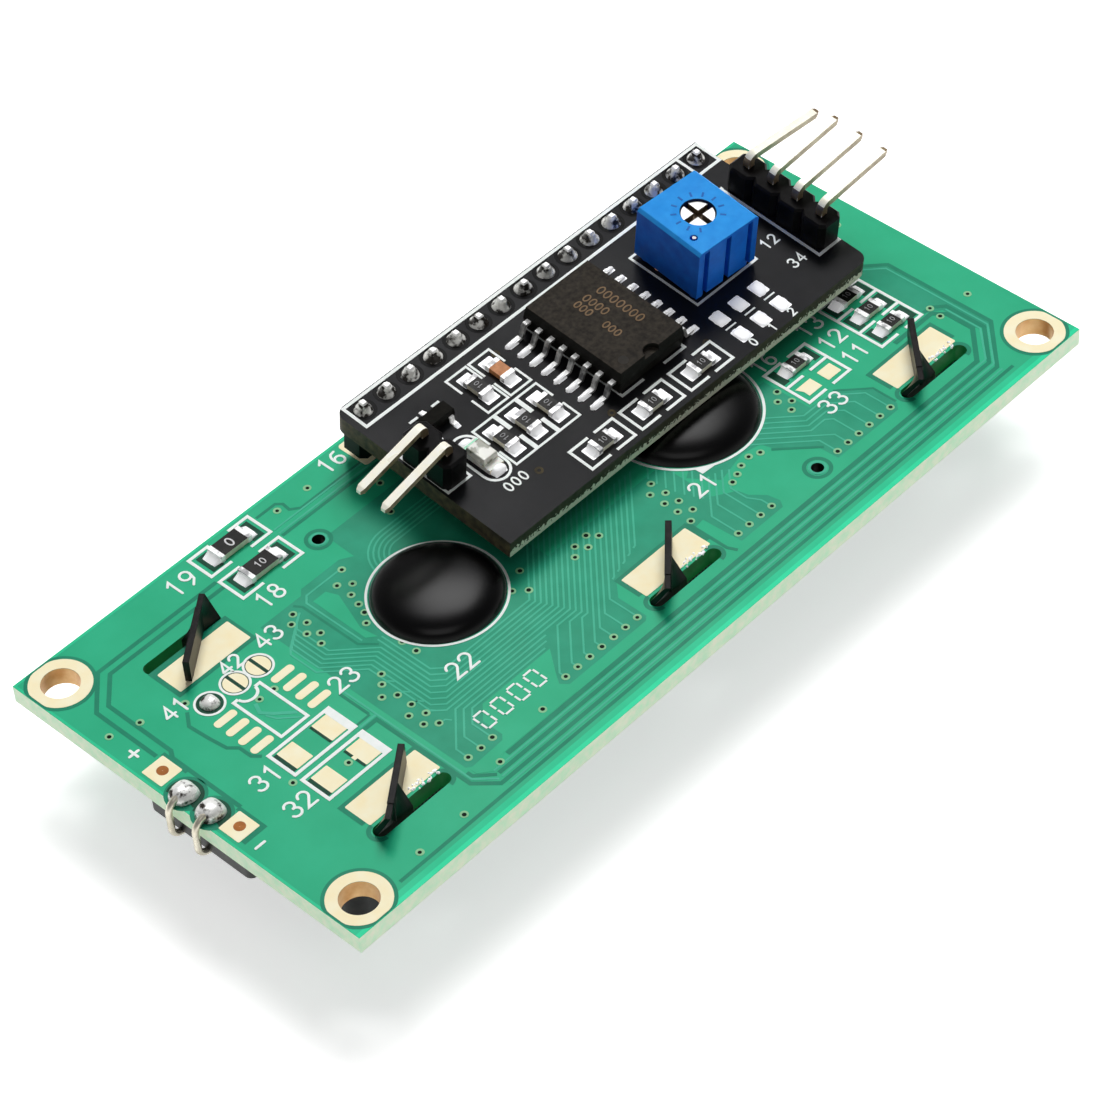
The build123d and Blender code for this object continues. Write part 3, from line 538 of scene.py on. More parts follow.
def turns(sides):
    return [2 * math.pi * i / sides for i in range(sides)]


def bow(cx, cy, rx, ry, start, end, steps):
    """Points along an arc, in degrees."""
    angles = [math.radians(start + (end - start) * i / steps) for i in range(steps + 1)]
    return [(cx + rx * math.cos(a), cy + ry * math.sin(a)) for a in angles]


def keep(name, mesh, body="module"):
    piece = bpy.data.objects.new(name, mesh)
    bpy.context.scene.collection.objects.link(piece)
    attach(piece, body)
    return piece


def glyph(letter):
    """Strokes of one plain figure or sign, in a box 0.6 wide and 1 high, with whether each is closed."""
    strokes = {
        "0": [(bow(0.3, 0.5, 0.28, 0.5, 0, 340, 14), True)],
        "1": [([(0.12, 0.8), (0.34, 1.0), (0.34, 0.0)], False)],
        "2": [(bow(0.3, 0.72, 0.28, 0.28, 170, -35, 9) + [(0.02, 0.0), (0.6, 0.0)], False)],
        "3": [(bow(0.28, 0.75, 0.27, 0.25, 160, -80, 9), False), (bow(0.28, 0.26, 0.3, 0.27, 80, -160, 9), False)],
        "4": [([(0.46, 0.0), (0.46, 1.0), (0.0, 0.3)], False), ([(0.02, 0.3), (0.62, 0.3)], False)],
        "5": [([(0.56, 1.0), (0.1, 1.0), (0.05, 0.56)] + bow(0.28, 0.31, 0.3, 0.31, 110, -150, 10), False)],
        "6": [([(0.48, 0.97)] + bow(0.34, 0.45, 0.32, 0.5, 110, 190, 5), False), (bow(0.3, 0.29, 0.27, 0.29, 0, 330, 12), True)],
        "7": [([(0.02, 1.0), (0.58, 1.0), (0.22, 0.0)], False)],
        "8": [(bow(0.3, 0.75, 0.22, 0.25, 0, 330, 12), True), (bow(0.3, 0.26, 0.28, 0.26, 0, 330, 12), True)],
        "9": [(bow(0.3, 0.71, 0.27, 0.29, 0, 330, 12), True), ([(0.57, 0.7), (0.5, 0.3), (0.2, 0.0)], False)],
        "+": [([(0.05, 0.5), (0.55, 0.5)], False), ([(0.3, 0.25), (0.3, 0.75)], False)],
        "-": [([(0.05, 0.5), (0.55, 0.5)], False)],
    }
    return strokes[letter]


def write(sheet, text, x, y, height, width=0.2, turn=0.0, gap=0.95):
    """Plain figures, centred on a point."""
    c, s = math.cos(math.radians(turn)), math.sin(math.radians(turn))
    step = height * gap
    for number, letter in enumerate(text):
        shift = (number - (len(text) - 1) / 2) * step - 0.3 * height
        for path, closed in glyph(letter):
            points = []
            for px, py in path:
                u, v = shift + px * height, (py - 0.5) * height
                points.append((x + u * c - v * s, y + u * s + v * c))
            sheet.line(points, width, closed=closed, rounded=not closed)


# Display board: copper under the mask

slot_rows = ((11.5, 1), (-12.3, -1))
slot_xs = (-29.0, 0.0, 29.0)
row_xs = [strip_x + (i - 7.5) * 2.54 for i in range(16)]

fields = Sheet(0.0, 0.004, 1)
fields.shape([(-24.1, 8.3), (-19.9, 8.3), (-19.4, 8.8), (-15.4, 8.8), (-14.4, 8.2), (-14.3, 11.3), (-5.0, 11.3), (-5.0, -3.0),
              (7.6, -3.0), (7.6, -8.2), (9.3, -9.3), (9.5, -10.2), (10.4, -11.3), (10.6, -12.4), (10.2, -13.0), (5.5, -13.0),
              (5.3, -9.3), (4.3, -9.4), (4.1, -8.5), (-3.5, -8.5), (-4.8, -9.9), (-4.8, -12.7), (-5.2, -13.0), (-13.4, -13.0),
              (-13.9, -12.4), (-13.3, -11.5), (-11.8, -9.5), (-18.9, -9.5), (-20.1, -10.7), (-20.1, -12.6), (-20.5, -13.0),
              (-23.7, -13.1), (-24.1, -12.8)])
fields.shape([(7.8, -5.4), (9.4, -7.6), (12.5, -6.9), (14.2, -7.3), (14.5, -8.4), (16.8, -11.0), (16.9, -12.8), (23.9, -12.9),
              (24.4, -12.4), (24.4, -9.8), (22.6, -7.8), (19.7, -7.6), (19.6, -2.9), (12.0, -2.9)])
fields.shape([(33.6, 0.9), (36.1, -1.6), (36.1, -12.2), (35.6, -12.4), (34.9, -11.6), (34.9, -8.4), (33.6, -7.4)])
fields.build("copper_fields", mask_field)

gaps = Sheet(0.0, 0.007, 9)
gap_paths = [
    ([(-37.75, 4.9), (-37.75, 11.3), (-35.0, 14.2), (-23.0, 14.2)], 0.36),
    ([(-37.1, -3.2), (-37.1, 3.9), (-36.7, 4.5), (-36.7, 11.15), (-34.5, 13.4), (-23.0, 13.4)], 0.36),
    ([(-33.4, 6.3), (-34.25, 5.2), (-34.1, 3.2), (-33.9, 1.6), (-33.3, 0.9), (-33.3, -0.3), (-32.8, -0.9)], 0.3),
    ([(-26.4, -4.7), (-24.95, -4.7), (-24.95, -14.1), (-23.5, -15.75), (32.5, -15.75), (36.3, -12.1), (36.3, -1.6), (33.0, 1.7)], 0.36),
    ([(-24.95, -4.0), (-26.4, -4.0)], 0.2),
    ([(-24.95, -0.9), (-24.95, -3.9)], 0.25),
    ([(-22.9, -14.95), (32.5, -14.95), (35.45, -12.1), (35.45, -8.3), (34.6, -7.5), (33.7, -7.4)], 0.36),
    ([(-24.35, -13.2), (-24.35, -13.7), (-23.1, -14.95)], 0.3),
    ([(-21.2, -14.15), (32.0, -14.15), (34.75, -11.5), (34.75, -8.9), (34.0, -7.95), (29.5, -7.95)], 0.42),
    ([(-34.6, -16.6), (33.4, -16.6)], 0.3),
    ([(-16.4, 16.75), (-14.4, 16.75), (-14.0, 16.3), (-14.1, 15.5), (-13.4, 14.95), (-8.2, 14.95), (-5.0, 14.95)], 0.26),
    ([(-16.4, 13.9), (-6.0, 13.9)], 0.3),
    ([(-21.0, 8.0), (-20.6, 7.4), (-20.6, 1.6), (-19.6, 0.4)], 0.22),
    ([(22.3, -7.7), (24.5, -9.9), (24.5, -12.2)], 0.2),
    ([(4.25, -8.7), (4.25, -12.6), (4.6, -13.4)], 0.28),
    ([(14.3, -8.3), (17.1, -11.2)], 0.25),
]
for path, width in gap_paths:
    gaps.line(path, width)
for sx in (-1, 1):
    for sy in (-1, 1):
        gaps.clipped_ring(sx * hole_x, sy * hole_y, 2.2, 2.72, half_x - 0.05, half_y - 0.05)
gaps.box(-37.5, 2.1, -37.1, 4.75)
gaps.box(-37.5, -5.85, -37.1, -3.1)
gaps.box(-39.3, -5.95, -37.1, -5.4)
for x in slot_xs:
    gaps.box(x - 3.75, -11.0, x + 4.15, -8.5)
    gaps.ring(x - 3.3, -12.3, 0.6, 0.95, 20, 90, 270)
    gaps.ring(x + 3.1, -12.3, 0.6, 0.95, 20, -90, 90)
    gaps.box(x - 3.75, 7.75, x + 4.05, 11.2)
gaps.ring(-14.9, 11.5, 0.8, 1.12)
gaps.ring(15.05, -12.3, 0.86, 1.2)
for x, y in ((-38.95, 0.575), (-38.95, -2.175)):
    gaps.disc(x + 0.15, y + 0.1, 1.62, 28)
gaps.build("copper_gaps", mask_gap)

islands = Sheet(0.0, 0.013, 2)
islands.shape([(-19.7, 7.2), (-18.4, 7.2), (-18.0, 6.2), (-18.4, 5.1), (-18.9, 3.7), (-19.3, 2.6), (-19.1, 1.0), (-19.8, 1.6)])
islands.shape([(-24.0, -13.3), (-13.5, -13.3), (-13.5, -13.9), (-21.4, -13.9), (-23.0, -14.6), (-24.0, -13.8)])
islands.build("copper_islands", mask_green)

traces = Sheet(0.0, 0.017)
for i in range(8):
    x, y = -18.9 - 0.42 * i, -5.0 - 0.42 * i
    c = -4.2 + 0.6 * i
    start = [(x, 0.8)]
    if i > 1:
        top, left = 1.9 + 0.17 * (7 - i), x - 2.71
        start = [(left + 1.3, 7.75 - 0.3 * i), (left + 0.5, 7.25 - 0.3 * i), (left, 6.7 - 0.3 * i), (left, top), (x, top - 2.71)]
    traces.line(start + [(x, y + 0.8), (x + 0.8, y), (c + y, y), (c - 3.0, -3.0), (c - 0.6, -0.6)], 0.15)
for k in range(7):
    x = -13.1 + 1.3 * k
    c = 0.6 * (k + 1)
    if x + 11.7 < c:
        y = -8.36 - 0.42 * k
        path = [(x, -12.3), (x, -11.7), (x + 11.7 + y, y), (c + y, y), (c - 0.6, -0.6)]
    else:
        path = [(x, -12.3), (x, x - c), (c - 0.6, -0.6)]
    traces.line(path, 0.15)
for k in range(5):
    c, y = 4.8 + 0.6 * k, -8.2 + 0.25 * k
    traces.line([(c + y - 0.3, y - 0.1), (c + y, y), (c - 3.0, -3.0), (c - 1.6, -1.6)], 0.15)
traces.line([(-23.3, -12.3), (-23.3, -11.1), (-20.55, -8.36), (-11.0, -8.36)], 0.15)
traces.line([(-22.05, -12.3), (-22.05, -10.7), (-20.15, -8.8), (-11.4, -8.8)], 0.15)
traces.line([(-20.8, -12.3), (-20.8, -10.3), (-19.7, -9.22), (-12.0, -9.22)], 0.15)
traces.line([(-16.2, 8.0), (-19.6, 8.0), (-20.15, 7.45), (-20.15, 1.6)], 0.16)
for i in range(5):
    traces.line(bow(-11.3, 5.3, 1.6 + 0.4 * i, 1.6 + 0.4 * i, 175, 90, 8) + [(-5.2, 6.9 + 0.4 * i)], 0.15)
for k, y in enumerate((-2.6, -4.2, -5.6, -7.0, -8.4)):
    traces.line([(-22.3, y), (-21.75, y - 0.1), (-21.5, y - 0.5)], 0.14)
for k, (bend, end) in enumerate(((-9.6, 9.0), (-9.1, 9.6), (-8.6, 10.2))):
    x = 5.97 + 1.25 * k
    traces.line([(x, -12.3), (x, bend), (end, bend + end - x)], 0.15)
traces.line([(9.7, -12.3), (9.7, -11.3), (9.15, -10.3), (9.15, -8.7), (10.6, -7.25)], 0.15)
for k in range(7):
    a = math.radians(199 + 6 * k)
    x, y = 13.0 + 6.6 * math.cos(a), -0.2 + 6.6 * math.sin(a)
    reach = 0.9 + 0.22 * k
    traces.line([(x, y), (x - reach, y - reach)], 0.14)
for k in range(6):
    x, total = 17.4 + 1.26 * k, 6.9 + 0.8 * k
    a = math.radians(45) - math.acos((total - 12.8) / (6.55 * math.sqrt(2)))
    path = [(13.0 + 6.55 * math.cos(a), -0.2 + 6.55 * math.sin(a))]
    if k < 2:
        path.append((x, total - x))
    else:
        level, turn = -9.3 + 0.5 * (k - 2), 0.5 * (k - 1)
        path += [(total - level, level), (x - turn, level), (x, level - turn)]
    traces.line(path + [(x, -12.3)], 0.15)
for y in (-14.55, -15.35, -16.2):
    traces.line([(-23.0, y), (32.6, y)], 0.16)
traces.line([(32.6, -14.55), (35.1, -12.0), (35.1, -8.5)], 0.16)
traces.line([(32.6, -15.35), (35.85, -12.1), (35.85, -1.8), (33.0, 1.05)], 0.16)
traces.line([(-24.6, -0.9), (-24.6, -13.9), (-23.3, -15.35)], 0.18)
traces.line([(-26.4, -4.35), (-24.7, -4.35)], 0.2)
for y in (14.6, 15.15):
    traces.line([(-16.4, y - 0.35), (-10.0, y - 0.35), (-5.5, y - 0.35)], 0.16)
traces.line([(-29.6, 3.1), (-30.0, 2.2), (-29.4, 1.4), (-28.2, 0.2)], 0.3)
traces.line([(-29.9, 1.7), (-29.6, 0.9), (-28.2, -0.5)], 0.16)
traces.build("copper_traces", mask_trace)

rim = Sheet(0.0, 0.005)
rim.box(-half_x + 0.02, -half_y + 0.02, half_x - 0.02, -half_y + 0.4)
rim.build("mask_edge", mask_rim)
soft_rim = Sheet(0.0, 0.003)
soft_rim.box(-half_x + 0.24, -half_y + 0.4, half_x - 0.02, -half_y + 0.9)
soft_rim.box(-half_x + 0.02, -half_y + 0.4, -half_x + 0.24, half_y - 0.02)
soft_rim.box(-half_x + 0.24, half_y - 0.25, half_x - 0.02, half_y - 0.02)
soft_rim.build("mask_edge_soft", mask_rim_soft)


# Display board: vias, pads, print

via_places = [
    (-38.7, 8.9), (-36.3, 8.2), (-32.9, 7.05), (-29.1, 3.2), (-27.7, 3.1), (-21.6, 7.4), (-22.4, 6.75), (-21.5, 6.0), (-22.3, 5.2),
    (-21.6, 4.5), (-22.3, 3.7), (-33.1, -4.4), (-29.2, -6.1), (-22.3, -2.6), (-23.2, -3.5), (-22.3, -4.2), (-22.3, -5.6),
    (-23.2, -6.25), (-22.2, -7.0), (-23.1, -7.65), (-22.3, -8.4), (-21.6, -1.85), (-23.3, -12.3), (-22.05, -12.35), (-20.8, -12.3),
    (-22.1, -14.3), (-31.8, -15.8), (-27.3, -15.75), (-18.3, -0.75), (-17.4, -1.6), (-18.3, -2.2), (-9.4, -3.4), (-8.5, -4.3),
    (-3.8, -4.6), (-3.0, -3.85), (-2.4, -4.65), (-1.6, -3.7), (-1.0, -4.45), (-7.5, -2.4), (-16.5, -13.2), (-14.8, 16.1),
    (-11.6, 16.1), (-16.0, 7.9), (-17.4, 7.0), (-16.5, 6.25), (-17.4, 5.5), (-17.7, 4.4), (-18.0, 3.45), (-18.7, 2.6),
    (4.7, -4.5), (5.6, -3.75), (5.6, -5.25), (4.7, -5.95), (5.6, -6.6), (4.7, -7.3), (5.6, -8.0), (4.6, -8.7), (9.7, -8.4),
    (10.6, -8.1), (11.5, -7.7), (12.6, -7.5), (13.5, -7.9), (19.4, -4.5), (18.6, -5.25), (19.4, -6.0), (18.6, -6.65),
    (34.4, -7.5), (34.2, -8.7), (37.6, -8.7), (37.4, 4.6), (38.3, 10.8), (35.3, 8.7), (-7.6, 12.2), (-9.3, 9.4),
]
via_places += [(-13.1 + 1.29 * k, -12.3) for k in range(7)]
via_places += [(5.9 + 1.27 * k, -12.3) for k in range(4)]
via_places += [(17.4 + 1.26 * k, -12.3) for k in range(6)]
rng = random.Random(7)
rims, dots = Sheet(0.0, 0.0225, 2), Sheet(0.0, 0.0245, 2)
for x, y in via_places:
    rims.ring(x, y, 0.14, 0.33, 16)
    dots.disc(x + rng.uniform(-0.03, 0.03), y + rng.uniform(-0.03, 0.03), rng.uniform(0.15, 0.19), 10)
rims.build("via_rims", mask_via)
dots.build("via_holes", dark_dot)

pads = Sheet(0.0, 0.027)


for sx in (-1, 1):
    for sy in (-1, 1):
        pads.clipped_ring(sx * hole_x, sy * hole_y, 1.5, 2.42, half_x - 0.22, half_y - 0.2)
for x in slot_xs:
    pads.box(x - 3.35, -11.42, x + 3.75, -8.85, 0.12)
    pads.box(x - 3.35, 8.1, x + 3.75, 10.65, 0.12)
for y in (3.55, -4.45):
    pads.box(-39.5, y - 1.05, -37.4, y + 1.05, 0.1)
for x in row_xs:
    pads.box(x - 0.85, 14.35, x + 0.85, 17.55, 0.3)
for y in (3.7, 2.43, 1.15, -0.12):
    pads.box(-33.05, y - 0.34, -31.0, y + 0.34, 0.3)
    pads.box(-27.3, y - 0.34, -25.2, y + 0.34, 0.3)
for y in (-2.65, -6.15):
    pads.box(-32.0, y - 1.08, -30.4, y + 1.08, 0.08)
    pads.box(-28.5, y - 1.08, -26.95, y + 1.08, 0.08)
pads.box(-28.75, -6.3, -28.4, -5.9)
for x, y in ((-29.15, 5.7), (-26.85, 5.65)):
    pads.shape(bow(x - 0.07, y, 0.88, 0.93, 95, 265, 14))
    pads.shape(bow(x + 0.07, y, 0.88, 0.93, -85, 85, 14))
pads.shape([(20.45, -5.45), (22.2, -5.45), (22.2, -6.7), (20.7, -6.7), (20.75, -6.1)])
pads.box(23.0, -6.7, 24.5, -5.45, 0.08)
pads.build("board_pads", pad_gold)

holes = Sheet(0.0, 0.033)
for y in (3.55, -4.45):
    holes.ring(-38.4, y, 0.02, 0.46, 24)
holes.build("pad_hole_rings", pad_hole)
lips = Sheet(0.0, 0.027)
lips.ring(-14.9, 11.5, 0.52, 0.7)
lips.ring(15.05, -12.3, 0.52, 0.74)
lips.build("hole_lips", mask_trace)

dark_gaps = Sheet(0.0, 0.0235, 2)
for x, y in ((-29.15, 5.7), (-26.85, 5.65)):
    dark_gaps.disc(x, y, 1.02, 28)
for y in (-2.65, -6.15):
    dark_gaps.box(-32.35, y - 1.08, -32.0, y + 1.08)
    dark_gaps.box(-28.72, y - 1.08, -28.48, y + 1.08)
for y in (-1.75, -4.02, -6.29):
    dark_gaps.box(28.85, y - 0.85, 29.7, y + 0.85)
    dark_gaps.box(32.2, y - 0.85, 33.2, y + 0.85)
dark_gaps.box(20.3, -4.45, 21.0, -2.75)
dark_gaps.box(24.0, -4.45, 24.65, -2.75)
for y in (12.75, 16.1):
    dark_gaps.box(-22.4, y - 1.0, -21.3, y + 1.0)
    dark_gaps.box(-18.2, y - 1.0, -17.1, y + 1.0)
for x, y in ((-38.95, 0.575), (-38.95, -2.175)):
    dark_gaps.ring(x + 0.05, y + 0.1, 0.7, 1.42, 28, -110, 120)
dark_gaps.ring(-31.75, 5.65, 0.74, 1.03, 28)
dark_gaps.build("mask_shadow_lines", mask_dark)

ink = Sheet(0.0, 0.034)


def broken_box(x0, y0, x1, y1, gap0, gap1, width=0.26):
    """Print box round a chip part, open in the middle of its long sides."""
    ink.line([(gap0, y0), (x0, y0), (x0, y1), (gap0, y1)], width)
    ink.line([(gap1, y0), (x1, y0), (x1, y1), (gap1, y1)], width)


broken_box(-22.85, 14.85, -16.7, 17.4, -20.75, -18.75)
broken_box(-22.85, 11.4, -16.7, 14.0, -20.75, -18.75)
broken_box(28.55, -2.85, 33.4, -0.9, 30.5, 31.4)
broken_box(28.55, -5.1, 33.4, -2.85, 30.5, 31.4)
broken_box(28.55, -7.45, 33.4, -5.1, 30.5, 31.4)
broken_box(20.1, -4.85, 24.95, -2.55, 22.1, 22.9)
broken_box(20.1, -7.2, 24.95, -4.85, 22.1, 22.9)
for y in (-2.65, -6.12):
    ink.line([(-26.55, y - 1.38), (-32.5, y - 1.38), (-32.5, y + 1.38), (-26.55, y + 1.38)], 0.28)
    ink.box(-27.0, y - 1.52, -26.3, y + 1.52)
ink.line([(-29.3 - 0.85, 4.35), (-30.6, 4.35), (-30.6, -0.65), (-27.95, -0.65), (-27.95, 4.35), (-28.45, 4.35)], 0.26)
ink.line(bow(-29.3, 4.3, 0.85, 0.72, 180, 360, 14), 0.24)
for x, y in ((-31.75, 5.65), (-29.15, 5.7), (-26.85, 5.65)):
    ink.ring(x, y, 1.03, 1.22, 40)
ink.ring(-13.1, 0.7, 5.25, 5.45, 96)
ink.ring(13.0, -0.2, 6.34, 6.56, 110)
ink.shape([(8.9, -5.3), (9.9, -5.75), (10.3, -6.15), (8.95, -6.05)])
for text, x, y, height in (("19", -24.8, 16.1, 1.6), ("18", -21.35, 10.1, 1.5), ("16", -8.4, 16.7, 1.45), ("23", -23.75, -0.1, 1.5),
                           ("31", -34.1, -2.6, 1.5), ("32", -34.2, -6.2, 1.5), ("22", -17.2, -5.7, 1.55), ("21", 8.0, -6.85, 1.45),
                           ("13", 26.7, -1.5, 1.5), ("12", 26.7, -3.85, 1.45), ("11", 26.6, -6.3, 1.4), ("16", 21.2, -1.5, 1.4),
                           ("33", 21.3, -8.55, 1.5), ("41", -33.8, 7.2, 1.35), ("42", -28.1, 7.3, 1.25), ("43", -24.4, 7.2, 1.45)):
    write(ink, text, x, y, height, 0.2, gap=0.86)
write(ink, "+", -38.65, 6.3, 1.7, 0.22)
write(ink, "-", -38.65, -6.8, 1.7, 0.22)
for k in range(4):
    x, y = -20.4 + 1.75 * k, -11.5
    for start, end in (((0.1, 1.6), (0.9, 1.6)), ((1.0, 1.5), (1.0, 0.9)), ((1.0, 0.7), (1.0, 0.1)),
                       ((0.9, 0.0), (0.1, 0.0)), ((0.0, 0.1), (0.0, 0.7)), ((0.0, 0.9), (0.0, 1.5))):
        ink.line([(x + start[0], y + start[1]), (x + end[0], y + end[1])], 0.17)
ink.build("board_print", silk)


# Solder

def lathe(profile, sides, wobble=0.0, seed=1, dimple=0.0):
    """Round body from a profile of (radius, height), a little uneven like set solder."""
    r = random.Random(seed)
    shift = [r.uniform(0, 6.28) for _ in range(3)]
    points, faces = [], []
    for radius, height in profile:
        for a in turns(sides):
            k = 1 + wobble * (math.sin(2 * a + shift[0]) + 0.5 * math.sin(3 * a + shift[1]) - 1.5)
            points.append((radius * k * math.cos(a), radius * k * math.sin(a), height))
    for level in range(len(profile) - 1):
        for i in range(sides):
            j = (i + 1) % sides
            a, b = level * sides, (level + 1) * sides
            faces.append([a + i, a + j, b + j, b + i])
    faces.append([len(points) - sides + i for i in range(sides)])
    return points, faces


class Body:
    """Free-form solids of one finish, gathered into one smooth mesh. Millimetres."""

    def __init__(self):
        self.points, self.faces = [], []

    def add(self, shape, place=Matrix.Identity(4)):
        start = len(self.points)
        self.points += [place @ Vector(p) for p in shape[0]]
        self.faces += [[start + i for i in face] for face in shape[1]]

    def build(self, name, material, place=board, body="module", slot=None, smooth=True):
        mesh = bpy.data.meshes.new(name)
        mesh.from_pydata([place @ (Vector(p) * MM) for p in self.points], [], self.faces)
        mesh.update()
        if smooth:
            mesh.shade_smooth()
        mesh.materials.append(material)
        return keep(name, mesh, body)


fillet_profile = [(0.82, 0.0), (0.8, 0.06), (0.7, 0.16), (0.58, 0.3), (0.5, 0.45), (0.45, 0.6), (0.4, 0.72)]
row_solder = Body()
for i in range(16):
    row_solder.add(lathe(fillet_profile, 18, 0.03, i), Matrix.Translation(((i - 7.5) * 2.54, 0, 0)))
piece = row_solder.build("row_solder", solder_row, adapter, slot="solder")
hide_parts("strip_joints")

under_solder = Body()
flip = Matrix.Rotation(math.pi, 4, "X")
shift = 1.6 * math.tan(tilt)
for i, x in enumerate(row_xs):
    under_solder.add(lathe(fillet_profile, 18, 0.03, 40 + i), Matrix.Translation((x, strip_y + shift, board_bottom)) @ flip)
piece = under_solder.build("front_row_solder", solder, slot="solder")
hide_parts("front_joints")

dome_profile = [(1.0, 0.0), (0.985, 0.16), (0.95, 0.4), (0.88, 0.6), (0.76, 0.76), (0.6, 0.87), (0.4, 0.95), (0.2, 0.99), (0.06, 1.0)]
for name, node, x, y, radius, height, seed in (("dome_left", "epoxy_dome_left", -13.1, 0.7, 5.22, 1.25, 3),
                                               ("dome_right", "epoxy_dome_right", 13.0, -0.2, 6.3, 1.35, 5)):
    dome = Body()
    dome.add(lathe([(r * radius, h * height) for r, h in dome_profile], 72, 0.006, seed), Matrix.Translation((x, y, 0)))
    piece = dome.build(name, epoxy, slot="black_epoxy")
    piece.modifiers.new("smooth", "SUBSURF").levels = 2
    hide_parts(node)


def pillow(x, y, length, width, height, seed, lean=0.0):
    """Low rounded pool of solder, a little uneven, with its top moved along its length by a share of it."""
    r = random.Random(seed)
    shift = [r.uniform(0, 2 * math.pi) for _ in range(2)]
    points, faces, sides = [], [], 20
    for share, lift in ((1.0, 0.0), (0.99, 0.22), (0.92, 0.52), (0.76, 0.8), (0.5, 0.95), (0.2, 1.0)):
        for a in turns(sides):
            k = share * (1 + 0.06 * math.sin(2 * a + shift[0]) + 0.05 * math.sin(3 * a + shift[1]))
            c, d = math.cos(a), math.sin(a)
            square = max(abs(c), abs(d)) ** -0.35
            along = k * square * c * length / 2 + lean * length * (1 - share)
            points.append((x + along, y + k * square * d * width / 2, height * lift))
    for level in range(5):
        for i in range(sides):
            j = (i + 1) % sides
            low, high = level * sides, (level + 1) * sides
            faces.append([low + i, low + j, high + j, high + i])
    faces.append([5 * sides + i for i in range(sides)])
    return points, faces


def wedge(x, y, length, width, height, way):
    """Solder fillet that slopes from the end of a chip part down to its pad."""
    rows = [(0.0, 1.0), (0.25, 0.62), (0.55, 0.3), (1.0, 0.0)]
    points, faces = [], []
    for along, up in rows:
        half = width / 2 * (1 - 0.12 * along)
        for side in (-1, -0.5, 0, 0.5, 1):
            lift = height * up * (1 - 0.35 * abs(side) ** 2)
            points.append((x + way * length * along, y + half * side, lift))
    for i in range(3):
        for j in range(4):
            a = 5 * i + j
            faces.append([a, a + 5, a + 6, a + 1] if way > 0 else [a, a + 1, a + 6, a + 5])
    rim_low = [0, 1, 2, 3, 4]
    base = len(points)
    points += [(points[i][0], points[i][1], 0.0) for i in (0, 5, 10, 15, 4, 9, 14, 19)]
    for k in range(3):
        faces.append([5 * k, base + k, base + k + 1, 5 * (k + 1)] if way > 0 else [5 * (k + 1), base + k + 1, base + k, 5 * k])
        a, b = 5 * k + 4, 5 * (k + 1) + 4
        faces.append([b, base + 5 + k, base + 4 + k, a] if way > 0 else [a, base + 4 + k, base + 5 + k, b])
    return points, faces


board_fillets = Body()
for y in (12.75, 16.1):
    board_fillets.add(wedge(-21.33, y, 0.75, 1.5, 0.5, -1))
    board_fillets.add(wedge(-18.17, y, 0.75, 1.5, 0.5, 1))
for y in (-1.75, -4.02, -6.29):
    board_fillets.add(wedge(30.02, y, 0.8, 1.2, 0.44, -1))
    board_fillets.add(wedge(31.98, y, 0.8, 1.2, 0.44, 1))
board_fillets.add(wedge(21.57, -3.65, 0.7, 1.2, 0.44, -1))
board_fillets.add(wedge(23.53, -3.65, 0.7, 1.2, 0.44, 1))
board_fillets.build("board_fillets", solder_dull, slot="solder")

adapter_fillets = Body()
for i in range(3):
    x = -8.8 + 5.6 * i
    adapter_fillets.add(wedge(x - 0.98, -15.3, 0.6, 1.2, 0.44, -1))
    adapter_fillets.add(wedge(x + 0.98, -15.3, 0.6, 1.2, 0.44, 1))
for x, y in [(-8.95 - 2.42 * i, -9.8) for i in range(3)] + [(-8.95 - 2.42 * i, -4.75) for i in range(2)]:
    for way in (-1, 1):
        quarter = Matrix.Translation((x, y, 0)) @ Matrix.Rotation(math.pi / 2, 4, "Z")
        adapter_fillets.add(wedge(way * 0.98, 0, 0.6, 1.15, 0.44, way), quarter)
for side in (-1, 1):
    for i in range(8):
        y = -7.9 + (i - 3.5) * 1.27
        length, width = (1.4, 0.52) if side < 0 else (1.0, 0.44)
        adapter_fillets.add(pillow(-0.7 + side * 5.5, y, length, width, 0.33, i, -0.12 * side))
for i, x in enumerate((7.15, 9.4, 11.7)):
    adapter_fillets.add(pillow(x, -13.07, 1.25, 1.5, 0.13, 20 + i))
    adapter_fillets.add(pillow(x, -15.37, 1.25, 1.5, 0.13, 30 + i))
for i, y in enumerate((-11.55, -8.1)):
    adapter_fillets.add(pillow(-16.3, y, 1.35, 0.95, 0.5, 50 + i))
for x, y, way in ((0, 1.22, 1), (-0.95, -1.22, -1), (0.95, -1.22, -1)):
    quarter = Matrix.Translation((-16.15 + x, -4.85 + y, 0)) @ Matrix.Rotation(math.pi / 2, 4, "Z")
    adapter_fillets.add(wedge(0, 0, 0.4, 0.5, 0.15, way), quarter)
adapter_fillets.build("adapter_fillets", solder_dull, adapter, slot="solder")


for name, node, x, y, length, width, height, lean in (
        ("lead_solder_1", "lead_joint_1", -38.95, 0.72, 2.35, 1.95, 0.86, -0.12),
        ("lead_solder_2", "lead_joint_2", -38.85, -1.95, 2.35, 1.95, 0.86, -0.12),
        ("bridge_solder", "solder_bridge", -31.75, 5.65, 1.5, 1.4, 0.5, 0.05)):
    pool = Body()
    pool.add(pillow(x, y, length, width, height, 11 + len(name), lean))
    piece = pool.build(name, solder, slot="solder")
    piece.modifiers.new("smooth", "SUBSURF").levels = 1
    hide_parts(node)


def crumb(x, y, radius, height, seed):
    points, faces = lathe([(radius, 0.0), (radius * 0.9, height * 0.45), (radius * 0.6, height * 0.85), (radius * 0.15, height)], 9, 0.16, seed)
    return [(x + px, y + py, pz) for px, py, pz in points], faces


